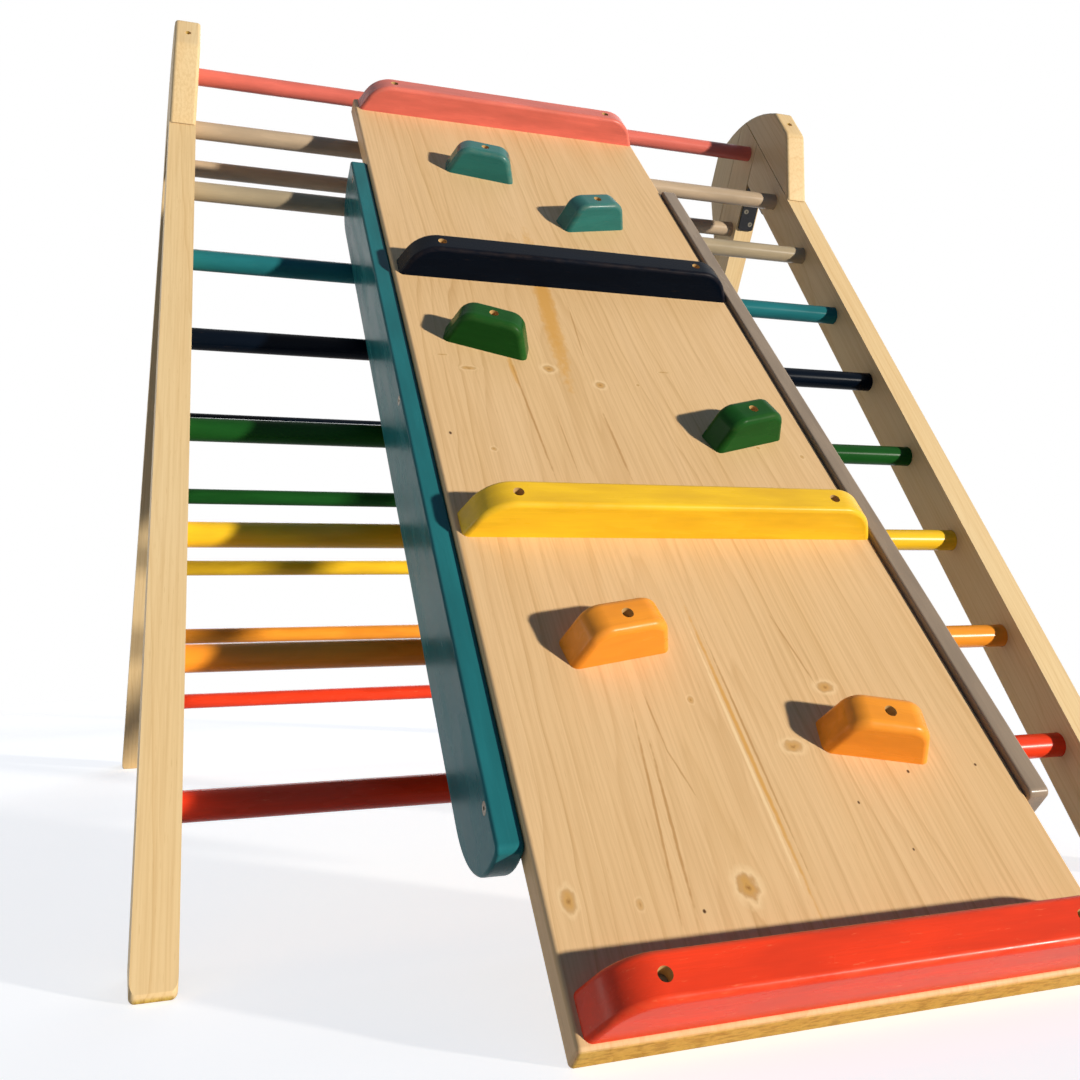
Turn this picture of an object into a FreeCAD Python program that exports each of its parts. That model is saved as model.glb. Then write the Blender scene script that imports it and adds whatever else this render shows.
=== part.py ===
import FreeCAD, Part
import math
import os

# Climbing triangle with a clip-on climbing ramp
# Lengths in millimetres, angles in degrees
# World axes: X to the right, Y to the back, Z up, floor at zero

# Driving sizes of the ladder
half_spread_angle = 34.0
apex_height = 894.0
first_rung_drop = 117.5
last_rung_rise = 120.9
rungs_per_side = 8
rung_diameter = 22.0
rung_socket_depth = 15.0
rung_end_bevel = 1.0
ladder_inner_width = 786.0
rail_thickness = 29.0
rail_width = 60.0
rail_edge_round = 4.0
foot_corner_round = 6.0

# Offsets of the rails from the rung lines, measured towards the outside
front_rail_outer_offset = 27.5
rear_rail_outer_offset = 40.0

# Head of each side frame
head_half_width = 119.5
head_toe_half_width = 113.5
head_peak_rise = 68.3
head_slope_angle = 22.0
head_facet_run = 29.5
crown_radius = 195.0
facet_top_radius = 10.0
shoulder_radius = 16.0
block_toe_radius = 10.0
head_screw_length = 70.0
head_screw_sink = 22.0
head_screw_shank_radius = 2.2
head_screw_head_radius = 3.4

# Hinge under each head
hinge_leaf_length = 62.0
hinge_leaf_width = 24.0
hinge_leaf_thickness = 2.0
hinge_barrel_radius = 4.0
hinge_seat_gap = 0.3
hinge_pin_radius = 2.0
hinge_pin_fit = 0.05
hinge_pin_overhang = 0.6
hinge_middle_knuckle_length = 8.0
hinge_leaf_corner_round = 4.0
hinge_screw_first = 14.0
hinge_screw_step = 19.0
hinge_screw_stagger = 5.5
hinge_screw_sides = (1, -1, 1)
hinge_screw_length = 20.0
hinge_screw_shank_radius = 1.8
hinge_screw_head_radius = 3.6

# Wood screws
screw_shank_radius = 2.2
screw_head_radius = 4.2
rung_screw_length = 45.0
batten_screw_length = 40.0
hold_screw_length = 38.0
hold_screw_sink = 8.0
side_screw_length = 42.0
hook_screw_length = 34.0
hook_screw_sink = 6.0
screw_tip_length = 5.0
screw_hole_fit = 0.05
drive_socket_radius = 1.5
drive_socket_depth = 1.6
drive_socket_sides = 6

# Climbing ramp
ramp_lean_angle = 41.88
ramp_left_edge = -210.5
ramp_rung_clearance = 56.0
ramp_top_overhang = 28.2
plank_width = 366.0
plank_thickness = 20.0
plank_edge_round = 3.0

# Side rails of the ramp
side_rail_thickness = 18.0
side_rail_depth = 71.0
side_rail_low_margin = 117.0
side_rail_high_margin = 158.0
side_rail_low_round = 60.0
side_rail_high_round = 44.0
side_rail_lip_round = 5.0
side_rail_edge_round = 2.5
left_rail_setdown = 5.0
right_rail_rise = 5.0
side_screw_depth = 12.0
side_screw_end_inset = 33.0
side_screw_count = 3

# Battens and holds on the plank
bar_width = 28.5
bar_height = 34.0
batten_left_margin = 5.0
batten_right_margin = 1.0
batten_end_slope_run = 16.0
batten_shoulder_round = 34.0
batten_ridge_round = 4.5
batten_screw_inset = 44.0
batten_screw_sink = 8.0
# Each batten's place on the plank, 0 at the low end and 1 at the top end
batten_place_shares = {
    "batten_red": 0.0027,
    "batten_yellow": 0.3344,
    "batten_navy": 0.6624,
    "batten_coral": 0.9982,
}
hold_length = 80.0
hold_end_slope_run = 12.5
hold_shoulder_round = 17.0
hold_ridge_round = 6.0
# Each hold's place: share of the plank's width from the left, of its length from the low end
hold_place_shares = {
    "hold_teal_left": (0.3516, 0.8448),
    "hold_teal_right": (0.6776, 0.7598),
    "hold_green_left": (0.1861, 0.5394),
    "hold_green_right": (0.8112, 0.4305),
    "hold_orange_left": (0.2705, 0.2192),
    "hold_orange_right": (0.7148, 0.1382),
}
hold_turn_angles = {
    "hold_teal_left": -10.2,
    "hold_teal_right": 14.8,
    "hold_green_left": -18.6,
    "hold_green_right": 17.4,
    "hold_orange_left": 9.6,
    "hold_orange_right": -11.5,
}

# Hook blocks under the plank, hung over the second front rung
hook_rung_count = 2
hook_fit = 0.3
hook_plate_thickness = 20.0
hook_side_inset = 40.0
hook_prong_width = 14.0
hook_prong_drop = 22.0
hook_front_reach = 62.0
hook_corner_round = 5.0
hook_screw_low_inset = 14.0
hook_screw_high_inset = 24.0

# Lengths below this count as nothing
shortest_edge = 0.0001

# Values that follow from the driving sizes
spread = math.radians(half_spread_angle)
lean = math.radians(ramp_lean_angle)
rung_radius = rung_diameter / 2
inner_x = ladder_inner_width / 2
outer_x = inner_x + rail_thickness
rail_middle_x = (inner_x + outer_x) / 2
front_rail_inner_offset = front_rail_outer_offset - rail_width
rear_rail_inner_offset = rear_rail_outer_offset - rail_width
slope_to_floor = apex_height / math.cos(spread)
rung_pitch = (slope_to_floor - first_rung_drop - last_rung_rise) / (rungs_per_side - 1)

# Longer than any piece, for cutting blocks and probes
far_reach = ladder_inner_width + apex_height

# The plank runs from the floor to its overhang past the first rung
first_rung_height = apex_height - first_rung_drop * math.cos(spread)
face_offset = ramp_rung_clearance + plank_edge_round - plank_thickness
rise_over_round = first_rung_height - plank_edge_round + face_offset * math.sin(lean)
first_rung_place = rise_over_round / math.cos(lean) + plank_edge_round
plank_length = first_rung_place + ramp_top_overhang
side_rail_high_end = plank_length - side_rail_high_margin

# Directions
X_AXIS = FreeCAD.Vector(1, 0, 0)
ORIGIN = FreeCAD.Vector(0, 0, 0)
front_outward = FreeCAD.Vector(0, -math.cos(spread), math.sin(spread))
rear_outward = FreeCAD.Vector(0, math.cos(spread), math.sin(spread))
front_down = FreeCAD.Vector(0, -math.sin(spread), -math.cos(spread))
rear_down = FreeCAD.Vector(0, math.sin(spread), -math.cos(spread))
apex = FreeCAD.Vector(0, 0, apex_height)

parts = {}


def meeting_point(front_offset, rear_offset):
    """Point where a line beside the front rungs meets one beside the rear rungs."""
    y = (rear_offset - front_offset) / (2 * math.cos(spread))
    z = apex_height + (rear_offset + front_offset) / (2 * math.sin(spread))
    return (y, z)


def on_front_line(offset, z):
    """Point at height z on the line at this offset outside the front rungs."""
    rise = z - apex_height
    return ((rise * math.sin(spread) - offset) / math.cos(spread), z)


def on_rear_line(offset, z):
    """Point at height z on the line at this offset outside the rear rungs."""
    rise = z - apex_height
    return ((offset - rise * math.sin(spread)) / math.cos(spread), z)


def height_on_front_line(offset, y):
    """Height of the front line of this offset above the depth y."""
    return apex_height + (offset + y * math.cos(spread)) / math.sin(spread)


def height_on_rear_line(offset, y):
    """Height of the rear line of this offset above the depth y."""
    return apex_height + (offset - y * math.cos(spread)) / math.sin(spread)


def rounded_wire(corners, to_space):
    """Closed wire through corners (a, b, radius), each corner turned into an arc."""
    edges = []
    joints = []
    for index, (a, b, radius) in enumerate(corners):
        before = corners[index - 1]
        after = corners[(index + 1) % len(corners)]
        here = FreeCAD.Vector(a, b, 0)
        inward = here - FreeCAD.Vector(before[0], before[1], 0)
        onward = FreeCAD.Vector(after[0], after[1], 0) - here
        inward.normalize()
        onward.normalize()
        turn = inward.getAngle(onward)
        cut = radius * math.tan(turn / 2)
        first = here - inward * cut
        last = here + onward * cut
        middle = None
        if radius > 0:
            aside = onward - inward
            aside.normalize()
            middle = here + aside * (radius / math.cos(turn / 2) - radius)
        joints.append((first, middle, last))
    for index, (first, middle, last) in enumerate(joints):
        previous_last = joints[index - 1][2]
        if not previous_last.isEqual(first, shortest_edge):
            edges.append(Part.makeLine(to_space(previous_last), to_space(first)))
        if middle is not None:
            arc = Part.Arc(to_space(first), to_space(middle), to_space(last))
            edges.append(arc.toShape())
    return Part.Wire(edges)


def side_view(point):
    """Outline coordinates (y, z) as a point in space."""
    return FreeCAD.Vector(0, point.x, point.y)


def end_view(point):
    """Outline coordinates (x, z) as a point in space."""
    return FreeCAD.Vector(point.x, 0, point.y)


def side_plate(corners, x_start, thickness):
    """Plate with a side-view outline, from x_start on by its thickness."""
    face = Part.Face(rounded_wire(corners, side_view))
    plate = face.extrude(X_AXIS * thickness)
    plate.translate(X_AXIS * x_start)
    return plate


def round_plate_rims(plate, x_start, thickness, radius):
    """Round over every edge that lies in one of the plate's two faces."""
    rims = []
    for edge in plate.Edges:
        box = edge.BoundBox
        for x in (x_start, x_start + thickness):
            if abs(box.XMin - x) < shortest_edge and abs(box.XMax - x) < shortest_edge:
                rims.append(edge)
    return plate.makeFillet(radius, rims)


def half_space(point, outward):
    """Large block that fills the space beyond a plane."""
    block = Part.makeBox(2 * far_reach, 2 * far_reach, 2 * far_reach)
    block.translate(FreeCAD.Vector(-far_reach, -far_reach, 0))
    block.Placement = FreeCAD.Placement(point, FreeCAD.Rotation(FreeCAD.Vector(0, 0, 1), outward)).multiply(
        block.Placement
    )
    return block


def screw_body(length, shank_radius, head_radius, fit):
    """Countersunk screw along minus Z with its head flush at zero; fit widens the shank."""
    shank = shank_radius + fit
    cone = head_radius - shank_radius
    outline = [
        FreeCAD.Vector(0, 0, 0),
        FreeCAD.Vector(head_radius, 0, 0),
        FreeCAD.Vector(shank, 0, fit - cone),
        FreeCAD.Vector(shank, 0, screw_tip_length - length),
        FreeCAD.Vector(0, 0, -length - fit),
        FreeCAD.Vector(0, 0, 0),
    ]
    face = Part.Face(Part.makePolygon(outline))
    return face.revolve(ORIGIN, FreeCAD.Vector(0, 0, 1), math.degrees(2 * math.pi))


def hexagon_prism(radius, depth):
    """Six-sided prism that goes down from zero by its depth."""
    points = []
    for corner in range(drive_socket_sides + 1):
        angle = 2 * math.pi * corner / drive_socket_sides
        points.append(FreeCAD.Vector(radius * math.cos(angle), radius * math.sin(angle), 0))
    face = Part.Face(Part.makePolygon(points))
    return face.extrude(FreeCAD.Vector(0, 0, -depth))


class ScrewSet:
    """Group of equal screws that share one node and cut their own holes."""

    def __init__(self, node, length, shank_radius, head_radius, sink):
        self.node = node
        self.length = length
        self.shank_radius = shank_radius
        self.head_radius = head_radius
        self.sink = sink
        self.solids = []

    def drive(self, point, direction, targets):
        """Place one screw at a surface point and cut its hole in each target node."""
        placing = FreeCAD.Placement(point, FreeCAD.Rotation(FreeCAD.Vector(0, 0, -1), direction))
        seat = FreeCAD.Vector(0, 0, -self.sink)
        screw = screw_body(self.length, self.shank_radius, self.head_radius, 0)
        screw = screw.cut(hexagon_prism(drive_socket_radius, drive_socket_depth))
        screw.translate(seat)
        hole = screw_body(self.length, self.shank_radius, self.head_radius, screw_hole_fit)
        hole.translate(seat)
        if self.sink > 0:
            shaft = Part.makeCylinder(self.head_radius, 2 * self.sink, seat)
            hole = hole.fuse(shaft)
        screw.Placement = placing.multiply(screw.Placement)
        hole.Placement = placing.multiply(hole.Placement)
        for target in targets:
            parts[target] = parts[target].cut(hole)
        self.solids.append(screw)

    def finish(self):
        """File the whole group under its node name."""
        parts[self.node] = Part.makeCompound(self.solids)


def mirrored(shape):
    """The same shape on the other side of the ladder."""
    return shape.mirror(ORIGIN, X_AXIS)


def rung_centre(number, direction):
    """Centre of a rung, counted down from the top along one side."""
    distance = first_rung_drop + rung_pitch * (number - 1)
    return apex + direction * distance


def rung_between_rails(centre):
    """Round bar across the ladder with its ends let into both rails."""
    length = ladder_inner_width + 2 * rung_socket_depth
    start = FreeCAD.Vector(-length / 2, centre.y, centre.z)
    bar = Part.makeCylinder(rung_radius, length, start, X_AXIS)
    rims = [edge for edge in bar.Edges if edge.Closed and edge.Length < length]
    return bar.makeChamfer(rung_end_bevel, rims)


def rung_socket(centre):
    """Blind hole in the right rail that takes a rung's end."""
    start = FreeCAD.Vector(inner_x, centre.y, centre.z)
    return Part.makeCylinder(rung_radius, rung_socket_depth, start, X_AXIS)


def build_side_frames():
    """Both legs and the head are one outline, rounded over and then parted at the seams."""
    axis_y = meeting_point(front_rail_inner_offset, rear_rail_inner_offset)[0]
    front_face_y = axis_y - head_half_width
    rear_face_y = axis_y + head_half_width
    slope = math.tan(math.radians(head_slope_angle))
    peak_z = apex_height + head_peak_rise
    facet_top_z = peak_z - (head_half_width - head_facet_run) * slope
    shoulder_z = facet_top_z - head_facet_run / math.tan(spread)
    inner_corner = meeting_point(front_rail_inner_offset, rear_rail_inner_offset)
    front_toe_y = axis_y - head_toe_half_width
    rear_toe_y = axis_y + head_toe_half_width
    front_toe_z = height_on_front_line(front_rail_outer_offset, front_toe_y)
    rear_toe_z = height_on_rear_line(rear_rail_outer_offset, rear_toe_y)
    corners = [
        on_front_line(front_rail_outer_offset, 0) + (foot_corner_round,),
        (front_toe_y, front_toe_z, block_toe_radius),
        (front_face_y, shoulder_z, shoulder_radius),
        (front_face_y + head_facet_run, facet_top_z, facet_top_radius),
        (axis_y, peak_z, crown_radius),
        (rear_face_y - head_facet_run, facet_top_z, facet_top_radius),
        (rear_face_y, shoulder_z, shoulder_radius),
        (rear_toe_y, rear_toe_z, block_toe_radius),
        on_rear_line(rear_rail_outer_offset, 0) + (foot_corner_round,),
        on_rear_line(rear_rail_inner_offset, 0) + (foot_corner_round,),
        inner_corner + (0,),
        on_front_line(front_rail_inner_offset, 0) + (foot_corner_round,),
    ]
    whole = side_plate(corners, inner_x, rail_thickness)
    whole = round_plate_rims(whole, inner_x, rail_thickness, rail_edge_round)

    beyond_front = half_space(apex + front_outward * front_rail_outer_offset, front_outward)
    beyond_rear = half_space(apex + rear_outward * rear_rail_outer_offset, rear_outward)
    behind_rear_edge = half_space(apex + rear_outward * rear_rail_inner_offset, rear_outward)
    below_front = whole.cut(beyond_front)
    side = {
        "front_head_block": whole.common(beyond_front),
        "front_rail": below_front.cut(behind_rear_edge),
        "rear_rail": below_front.common(behind_rear_edge).cut(beyond_rear),
        "rear_head_block": below_front.common(beyond_rear),
    }
    for number in range(1, rungs_per_side + 1):
        side["front_rail"] = side["front_rail"].cut(rung_socket(rung_centre(number, front_down)))
        side["rear_rail"] = side["rear_rail"].cut(rung_socket(rung_centre(number, rear_down)))
    side["rear_rail"] = side["rear_rail"].cut(rung_socket(apex))
    for name, shape in side.items():
        parts[name + "_right"] = shape
        parts[name + "_left"] = mirrored(shape)
    facet_middle_z = (facet_top_z + shoulder_z) / 2
    return front_face_y + head_facet_run / 2, rear_face_y - head_facet_run / 2, facet_middle_z


def build_rungs():
    """Eight rungs on each side and one at the top."""
    parts["top_rung"] = rung_between_rails(apex)
    for number in range(1, rungs_per_side + 1):
        parts[f"front_rung_{number}"] = rung_between_rails(rung_centre(number, front_down))
        parts[f"rear_rung_{number}"] = rung_between_rails(rung_centre(number, rear_down))


def build_rung_screws():
    """One screw through the rail into each end of every rung."""
    for side, direction in (("front", front_down), ("rear", rear_down)):
        screws = ScrewSet(
            f"{side}_rung_screws", rung_screw_length, screw_shank_radius, screw_head_radius, 0
        )
        rungs = {f"{side}_rung_{n}": rung_centre(n, direction) for n in range(1, rungs_per_side + 1)}
        if side == "rear":
            rungs["top_rung"] = apex
        for rung, centre in rungs.items():
            for end, sign in (("right", 1), ("left", -1)):
                head = FreeCAD.Vector(sign * outer_x, centre.y, centre.z)
                screws.drive(head, X_AXIS * -sign, [f"{side}_rail_{end}", rung])
        screws.finish()


def build_head_screws(front_entry_y, rear_entry_y, entry_z):
    """Long screws from the facets, square to the seams, hold each head block to its rail."""
    for side, y, direction in (
        ("front", front_entry_y, front_outward * -1),
        ("rear", rear_entry_y, rear_outward * -1),
    ):
        screws = ScrewSet(
            f"{side}_head_screws",
            head_screw_length,
            head_screw_shank_radius,
            head_screw_head_radius,
            head_screw_sink,
        )
        for end, sign in (("right", 1), ("left", -1)):
            entry = FreeCAD.Vector(sign * rail_middle_x, y, entry_z)
            screws.drive(entry, direction, [f"{side}_head_block_{end}", f"{side}_rail_{end}"])
        screws.finish()


def hinge_leaf(axis, outward, down, knuckle_spans, gap_spans):
    """Leaf plate on a rail's inner edge with its share of the knuckles."""
    reach = hinge_barrel_radius + hinge_seat_gap
    left_x = rail_middle_x - hinge_leaf_width / 2
    half_thickness = hinge_leaf_thickness / 2
    plate_point = axis + outward * (reach - half_thickness)
    plate = Part.makeBox(hinge_leaf_width, hinge_leaf_thickness, hinge_leaf_length)
    plate.translate(FreeCAD.Vector(0, -half_thickness, 0))
    ends = [
        edge
        for edge in plate.Edges
        if edge.BoundBox.ZMin > 0 and edge.BoundBox.XLength < hinge_leaf_thickness
        and edge.BoundBox.YLength > 0 and edge.BoundBox.ZLength < hinge_leaf_thickness
    ]
    plate = plate.makeFillet(hinge_leaf_corner_round, ends)
    turn = FreeCAD.Rotation(X_AXIS, outward, down, "XZY")
    plate_start = FreeCAD.Vector(left_x, plate_point.y, plate_point.z)
    plate.Placement = FreeCAD.Placement(plate_start, turn).multiply(plate.Placement)
    for start, end in gap_spans:
        clear = Part.makeCylinder(
            hinge_barrel_radius + hinge_seat_gap,
            end - start,
            FreeCAD.Vector(left_x + start, axis.y, axis.z),
            X_AXIS,
        )
        plate = plate.cut(clear)
    for start, end in knuckle_spans:
        knuckle = Part.makeCylinder(
            hinge_barrel_radius, end - start, FreeCAD.Vector(left_x + start, axis.y, axis.z), X_AXIS
        )
        plate = plate.fuse(knuckle)
    return plate


def build_hinges():
    """Steel hinge in the corner under each head."""
    reach = hinge_barrel_radius + hinge_seat_gap
    corner = meeting_point(front_rail_inner_offset - reach, rear_rail_inner_offset - reach)
    axis = FreeCAD.Vector(0, corner[0], corner[1])
    middle_start = (hinge_leaf_width - hinge_middle_knuckle_length) / 2
    middle_end = middle_start + hinge_middle_knuckle_length
    low = middle_start - hinge_seat_gap
    high = middle_end + hinge_seat_gap
    outer = [(0, low), (high, hinge_leaf_width)]
    middle = [(middle_start, middle_end)]
    left_x = rail_middle_x - hinge_leaf_width / 2
    pin_length = hinge_leaf_width + 2 * hinge_pin_overhang
    pin_start = FreeCAD.Vector(left_x - hinge_pin_overhang, axis.y, axis.z)
    pin = Part.makeCylinder(hinge_pin_radius, pin_length, pin_start, X_AXIS)
    loose_hole = Part.makeCylinder(hinge_pin_radius + hinge_pin_fit, pin_length, pin_start, X_AXIS)
    front = hinge_leaf(axis, front_outward, front_down, outer, [(low, high)])
    rear = hinge_leaf(
        axis, rear_outward, rear_down, middle, [(0, middle_start), (middle_end, hinge_leaf_width)]
    )
    front = front.cut(pin)
    rear = rear.cut(loose_hole)
    for name, shape in (("hinge_leaf_front", front), ("hinge_leaf_rear", rear), ("hinge_pin", pin)):
        parts[name + "_right"] = shape
        parts[name + "_left"] = mirrored(shape)

    for side, outward, down in (
        ("front", front_outward, front_down),
        ("rear", rear_outward, rear_down),
    ):
        screws = ScrewSet(
            f"{side}_hinge_screws",
            hinge_screw_length,
            hinge_screw_shank_radius,
            hinge_screw_head_radius,
            0,
        )
        surface = reach - hinge_leaf_thickness
        for end, sign in (("right", 1), ("left", -1)):
            for number, leaf_side in enumerate(hinge_screw_sides):
                along = hinge_screw_first + hinge_screw_step * number
                point = axis + outward * surface + down * along
                point.x = sign * (rail_middle_x + hinge_screw_stagger * leaf_side)
                screws.drive(point, outward, [f"hinge_leaf_{side}_{end}", f"{side}_rail_{end}"])
        screws.finish()


def bar_shape(length, slope_run, shoulder_round, ridge_round):
    """Bar with curved ends and a rounded ridge, centred in X, low edge at Y zero."""
    half = length / 2
    corners = [
        (-half, 0, 0),
        (half, 0, 0),
        (half - slope_run, bar_height, shoulder_round),
        (slope_run - half, bar_height, shoulder_round),
    ]
    face = Part.Face(rounded_wire(corners, end_view))
    bar = face.extrude(FreeCAD.Vector(0, bar_width, 0))
    ridges = []
    for edge in bar.Edges:
        box = edge.BoundBox
        if box.YLength < ridge_round and box.ZMax > shortest_edge:
            ridges.append(edge)
    return bar.makeFillet(ridge_round, ridges)


def build_ramp():
    """All pieces of the ramp, lying flat: X across, Y up the slope, Z off the face."""
    plank = Part.makeBox(plank_width, plank_length, plank_thickness)
    plank.translate(FreeCAD.Vector(0, 0, -plank_thickness))
    parts["ramp_plank"] = plank.makeFillet(plank_edge_round, plank.Edges)

    bottom = -left_rail_setdown - side_rail_depth
    for name, x_start, top in (
        ("ramp_side_rail_left", -side_rail_thickness, -left_rail_setdown),
        ("ramp_side_rail_right", plank_width, right_rail_rise),
    ):
        corners = [
            (side_rail_low_margin, top, side_rail_lip_round),
            (side_rail_high_end, top, side_rail_lip_round),
            (side_rail_high_end, bottom, side_rail_high_round),
            (side_rail_low_margin, bottom, side_rail_low_round),
        ]
        rail = side_plate(corners, x_start, side_rail_thickness)
        parts[name] = round_plate_rims(rail, x_start, side_rail_thickness, side_rail_edge_round)

    side_screws = ScrewSet(
        "side_rail_screws", side_screw_length, screw_shank_radius, screw_head_radius, 0
    )
    screw_span = side_rail_high_end - side_rail_low_margin - 2 * side_screw_end_inset
    side_screw_step = screw_span / (side_screw_count - 1)
    for name, x, sign in (
        ("ramp_side_rail_left", -side_rail_thickness, 1),
        ("ramp_side_rail_right", plank_width + side_rail_thickness, -1),
    ):
        for number in range(side_screw_count):
            along = side_rail_low_margin + side_screw_end_inset + side_screw_step * number
            point = FreeCAD.Vector(x, along, -side_screw_depth)
            side_screws.drive(point, X_AXIS * sign, [name, "ramp_plank"])
    side_screws.finish()

    batten_screws = ScrewSet(
        "batten_screws", batten_screw_length, screw_shank_radius, screw_head_radius, batten_screw_sink
    )
    for name, place_share in batten_place_shares.items():
        low_edge = (plank_length - bar_width) * place_share
        batten = bar_shape(
            plank_width - batten_left_margin - batten_right_margin,
            batten_end_slope_run,
            batten_shoulder_round,
            batten_ridge_round,
        )
        middle_x = (plank_width + batten_left_margin - batten_right_margin) / 2
        batten.translate(FreeCAD.Vector(middle_x, low_edge, 0))
        parts[name] = batten
        middle_y = low_edge + bar_width / 2
        for x in (batten_screw_inset, plank_width - batten_screw_inset):
            point = FreeCAD.Vector(x, middle_y, bar_height)
            batten_screws.drive(point, FreeCAD.Vector(0, 0, -1), [name, "ramp_plank"])
    batten_screws.finish()

    hold_screws = ScrewSet(
        "hold_screws", hold_screw_length, screw_shank_radius, screw_head_radius, hold_screw_sink
    )
    for name, (across_share, up_share) in hold_place_shares.items():
        hold = bar_shape(
            hold_length,
            hold_end_slope_run,
            hold_shoulder_round,
            hold_ridge_round,
        )
        middle = FreeCAD.Vector(0, bar_width / 2, bar_height)
        place = FreeCAD.Vector(plank_width * across_share, plank_length * up_share, 0)
        turn = FreeCAD.Rotation(FreeCAD.Vector(0, 0, 1), hold_turn_angles[name])
        placing = FreeCAD.Placement(place, turn)
        hold.Placement = placing
        parts[name] = hold
        hold_screws.drive(placing.multVec(middle), FreeCAD.Vector(0, 0, -1), [name, "ramp_plank"])
    hold_screws.finish()


def ramp_placement():
    """Lean the ramp so that it rests on the floor and clears the first rung."""
    rounded = plank_edge_round
    low_point = (plank_thickness - rounded) * math.sin(lean) + rounded
    origin_z = low_point - rounded * math.cos(lean)
    first = rung_centre(1, front_down)
    drop = (first.z - origin_z) * math.sin(lean)
    origin_y = first.y - (drop + ramp_rung_clearance) / math.cos(lean)
    origin = FreeCAD.Vector(ramp_left_edge, origin_y, origin_z)
    slope_angle = math.degrees(math.pi / 2 - lean)
    return FreeCAD.Placement(origin, FreeCAD.Rotation(X_AXIS, slope_angle))


def build_hooks(placing):
    """Two plates under the plank that hang over one of the front rungs."""
    rung = placing.inverse().multVec(rung_centre(hook_rung_count, front_down))
    back = (math.sin(lean), -math.cos(lean))
    up = (math.cos(lean), math.sin(lean))

    def local(side_step, up_step):
        y = rung.y + side_step * back[0] + up_step * up[0]
        z = rung.z + side_step * back[1] + up_step * up[1]
        return (y, z)

    def rise_to_plank(side_step):
        return (-plank_thickness - rung.z - side_step * back[1]) / up[1]

    slot = rung_radius + hook_fit
    tail = slot + hook_prong_width
    front_corner = local(-hook_front_reach, -hook_prong_drop)
    high_corner = local(tail, rise_to_plank(tail))
    corners = [
        (front_corner[0], -plank_thickness, 0),
        front_corner + (hook_corner_round,),
        local(-slot, -hook_prong_drop) + (hook_corner_round,),
        local(-slot, slot) + (slot,),
        local(slot, slot) + (slot,),
        local(slot, -hook_prong_drop) + (hook_corner_round,),
        local(tail, -hook_prong_drop) + (hook_corner_round,),
        high_corner + (0,),
    ]
    screws = ScrewSet(
        "hook_screws", hook_screw_length, screw_shank_radius, screw_head_radius, hook_screw_sink
    )
    for name, x_start in (
        ("hook_block_left", hook_side_inset),
        ("hook_block_right", plank_width - hook_side_inset - hook_plate_thickness),
    ):
        parts[name] = side_plate(corners, x_start, hook_plate_thickness)
        middle_x = x_start + hook_plate_thickness / 2
        low_y = front_corner[0] + hook_screw_low_inset
        high_y = high_corner[0] - hook_screw_high_inset
        for y in (low_y, high_y):
            probe = Part.makeLine(
                FreeCAD.Vector(middle_x, y, -plank_thickness), FreeCAD.Vector(middle_x, y, -far_reach)
            )
            under = probe.common(parts[name]).BoundBox.ZMin
            point = FreeCAD.Vector(middle_x, y, under)
            screws.drive(point, FreeCAD.Vector(0, 0, 1), [name, "ramp_plank"])
    screws.finish()


def main():
    """Build every piece, centre the whole over the origin and write the files."""
    build_ramp()
    placing = ramp_placement()
    build_hooks(placing)
    for name in list(parts):
        parts[name].Placement = placing.multiply(parts[name].Placement)
    front_entry_y, rear_entry_y, entry_z = build_side_frames()
    build_rungs()
    build_rung_screws()
    build_head_screws(front_entry_y, rear_entry_y, entry_z)
    build_hinges()

    box = Part.makeCompound(list(parts.values())).optimalBoundingBox(False, False)
    shift = FreeCAD.Vector(0, -(box.YMin + box.YMax) / 2, -box.ZMin)
    os.makedirs("parts", exist_ok=True)
    for name, shape in parts.items():
        shape.translate(shift)
        shape.exportStep(f"parts/{name}.step")


main()
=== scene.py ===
import logging
import math
import random
from dataclasses import dataclass
from enum import Enum
from typing import Any, Sequence

import bmesh
import bpy
import numpy as np
from mathutils import Matrix, Vector


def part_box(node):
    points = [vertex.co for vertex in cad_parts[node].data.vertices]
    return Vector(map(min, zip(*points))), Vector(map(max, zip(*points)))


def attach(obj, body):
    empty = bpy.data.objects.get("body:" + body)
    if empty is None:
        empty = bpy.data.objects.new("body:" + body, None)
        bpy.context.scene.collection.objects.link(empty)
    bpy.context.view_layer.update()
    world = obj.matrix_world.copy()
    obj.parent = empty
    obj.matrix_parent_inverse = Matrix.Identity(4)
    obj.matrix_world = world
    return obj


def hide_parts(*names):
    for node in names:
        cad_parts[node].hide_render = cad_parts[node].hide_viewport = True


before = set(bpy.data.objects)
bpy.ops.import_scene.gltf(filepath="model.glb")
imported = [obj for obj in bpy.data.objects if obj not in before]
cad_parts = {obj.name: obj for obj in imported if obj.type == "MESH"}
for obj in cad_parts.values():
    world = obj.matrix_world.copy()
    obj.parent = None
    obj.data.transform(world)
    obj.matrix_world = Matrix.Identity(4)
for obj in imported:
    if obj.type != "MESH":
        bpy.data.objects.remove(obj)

LOG = logging.getLogger("climbing_triangle")
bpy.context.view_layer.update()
MM = 0.001
PIECE_PREFIX = "look_"
BORE_SEGMENTS = 32
SHARP_ANGLE = math.radians(32.0)
ARC_ANGLE = math.radians(6.0)
NEARLY_STRAIGHT = 0.01
X_AXIS = Vector((1.0, 0.0, 0.0))
Y_AXIS = Vector((0.0, 1.0, 0.0))
Z_AXIS = Vector((0.0, 0.0, 1.0))
SEED = 41

Triple = tuple[float, float, float]
Colour = tuple[float, float, float, float]


class Body(Enum):
    """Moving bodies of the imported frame."""

    FRONT = "front_frame"
    REAR = "rear_frame"
    RAMP = "ramp"


class Side(Enum):
    """The two ladders, with the sign of their direction in depth."""

    FRONT = -1
    REAR = 1

    @property
    def body(self) -> Body:
        """Moving body of this ladder."""
        return Body.FRONT if self is Side.FRONT else Body.REAR


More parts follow.
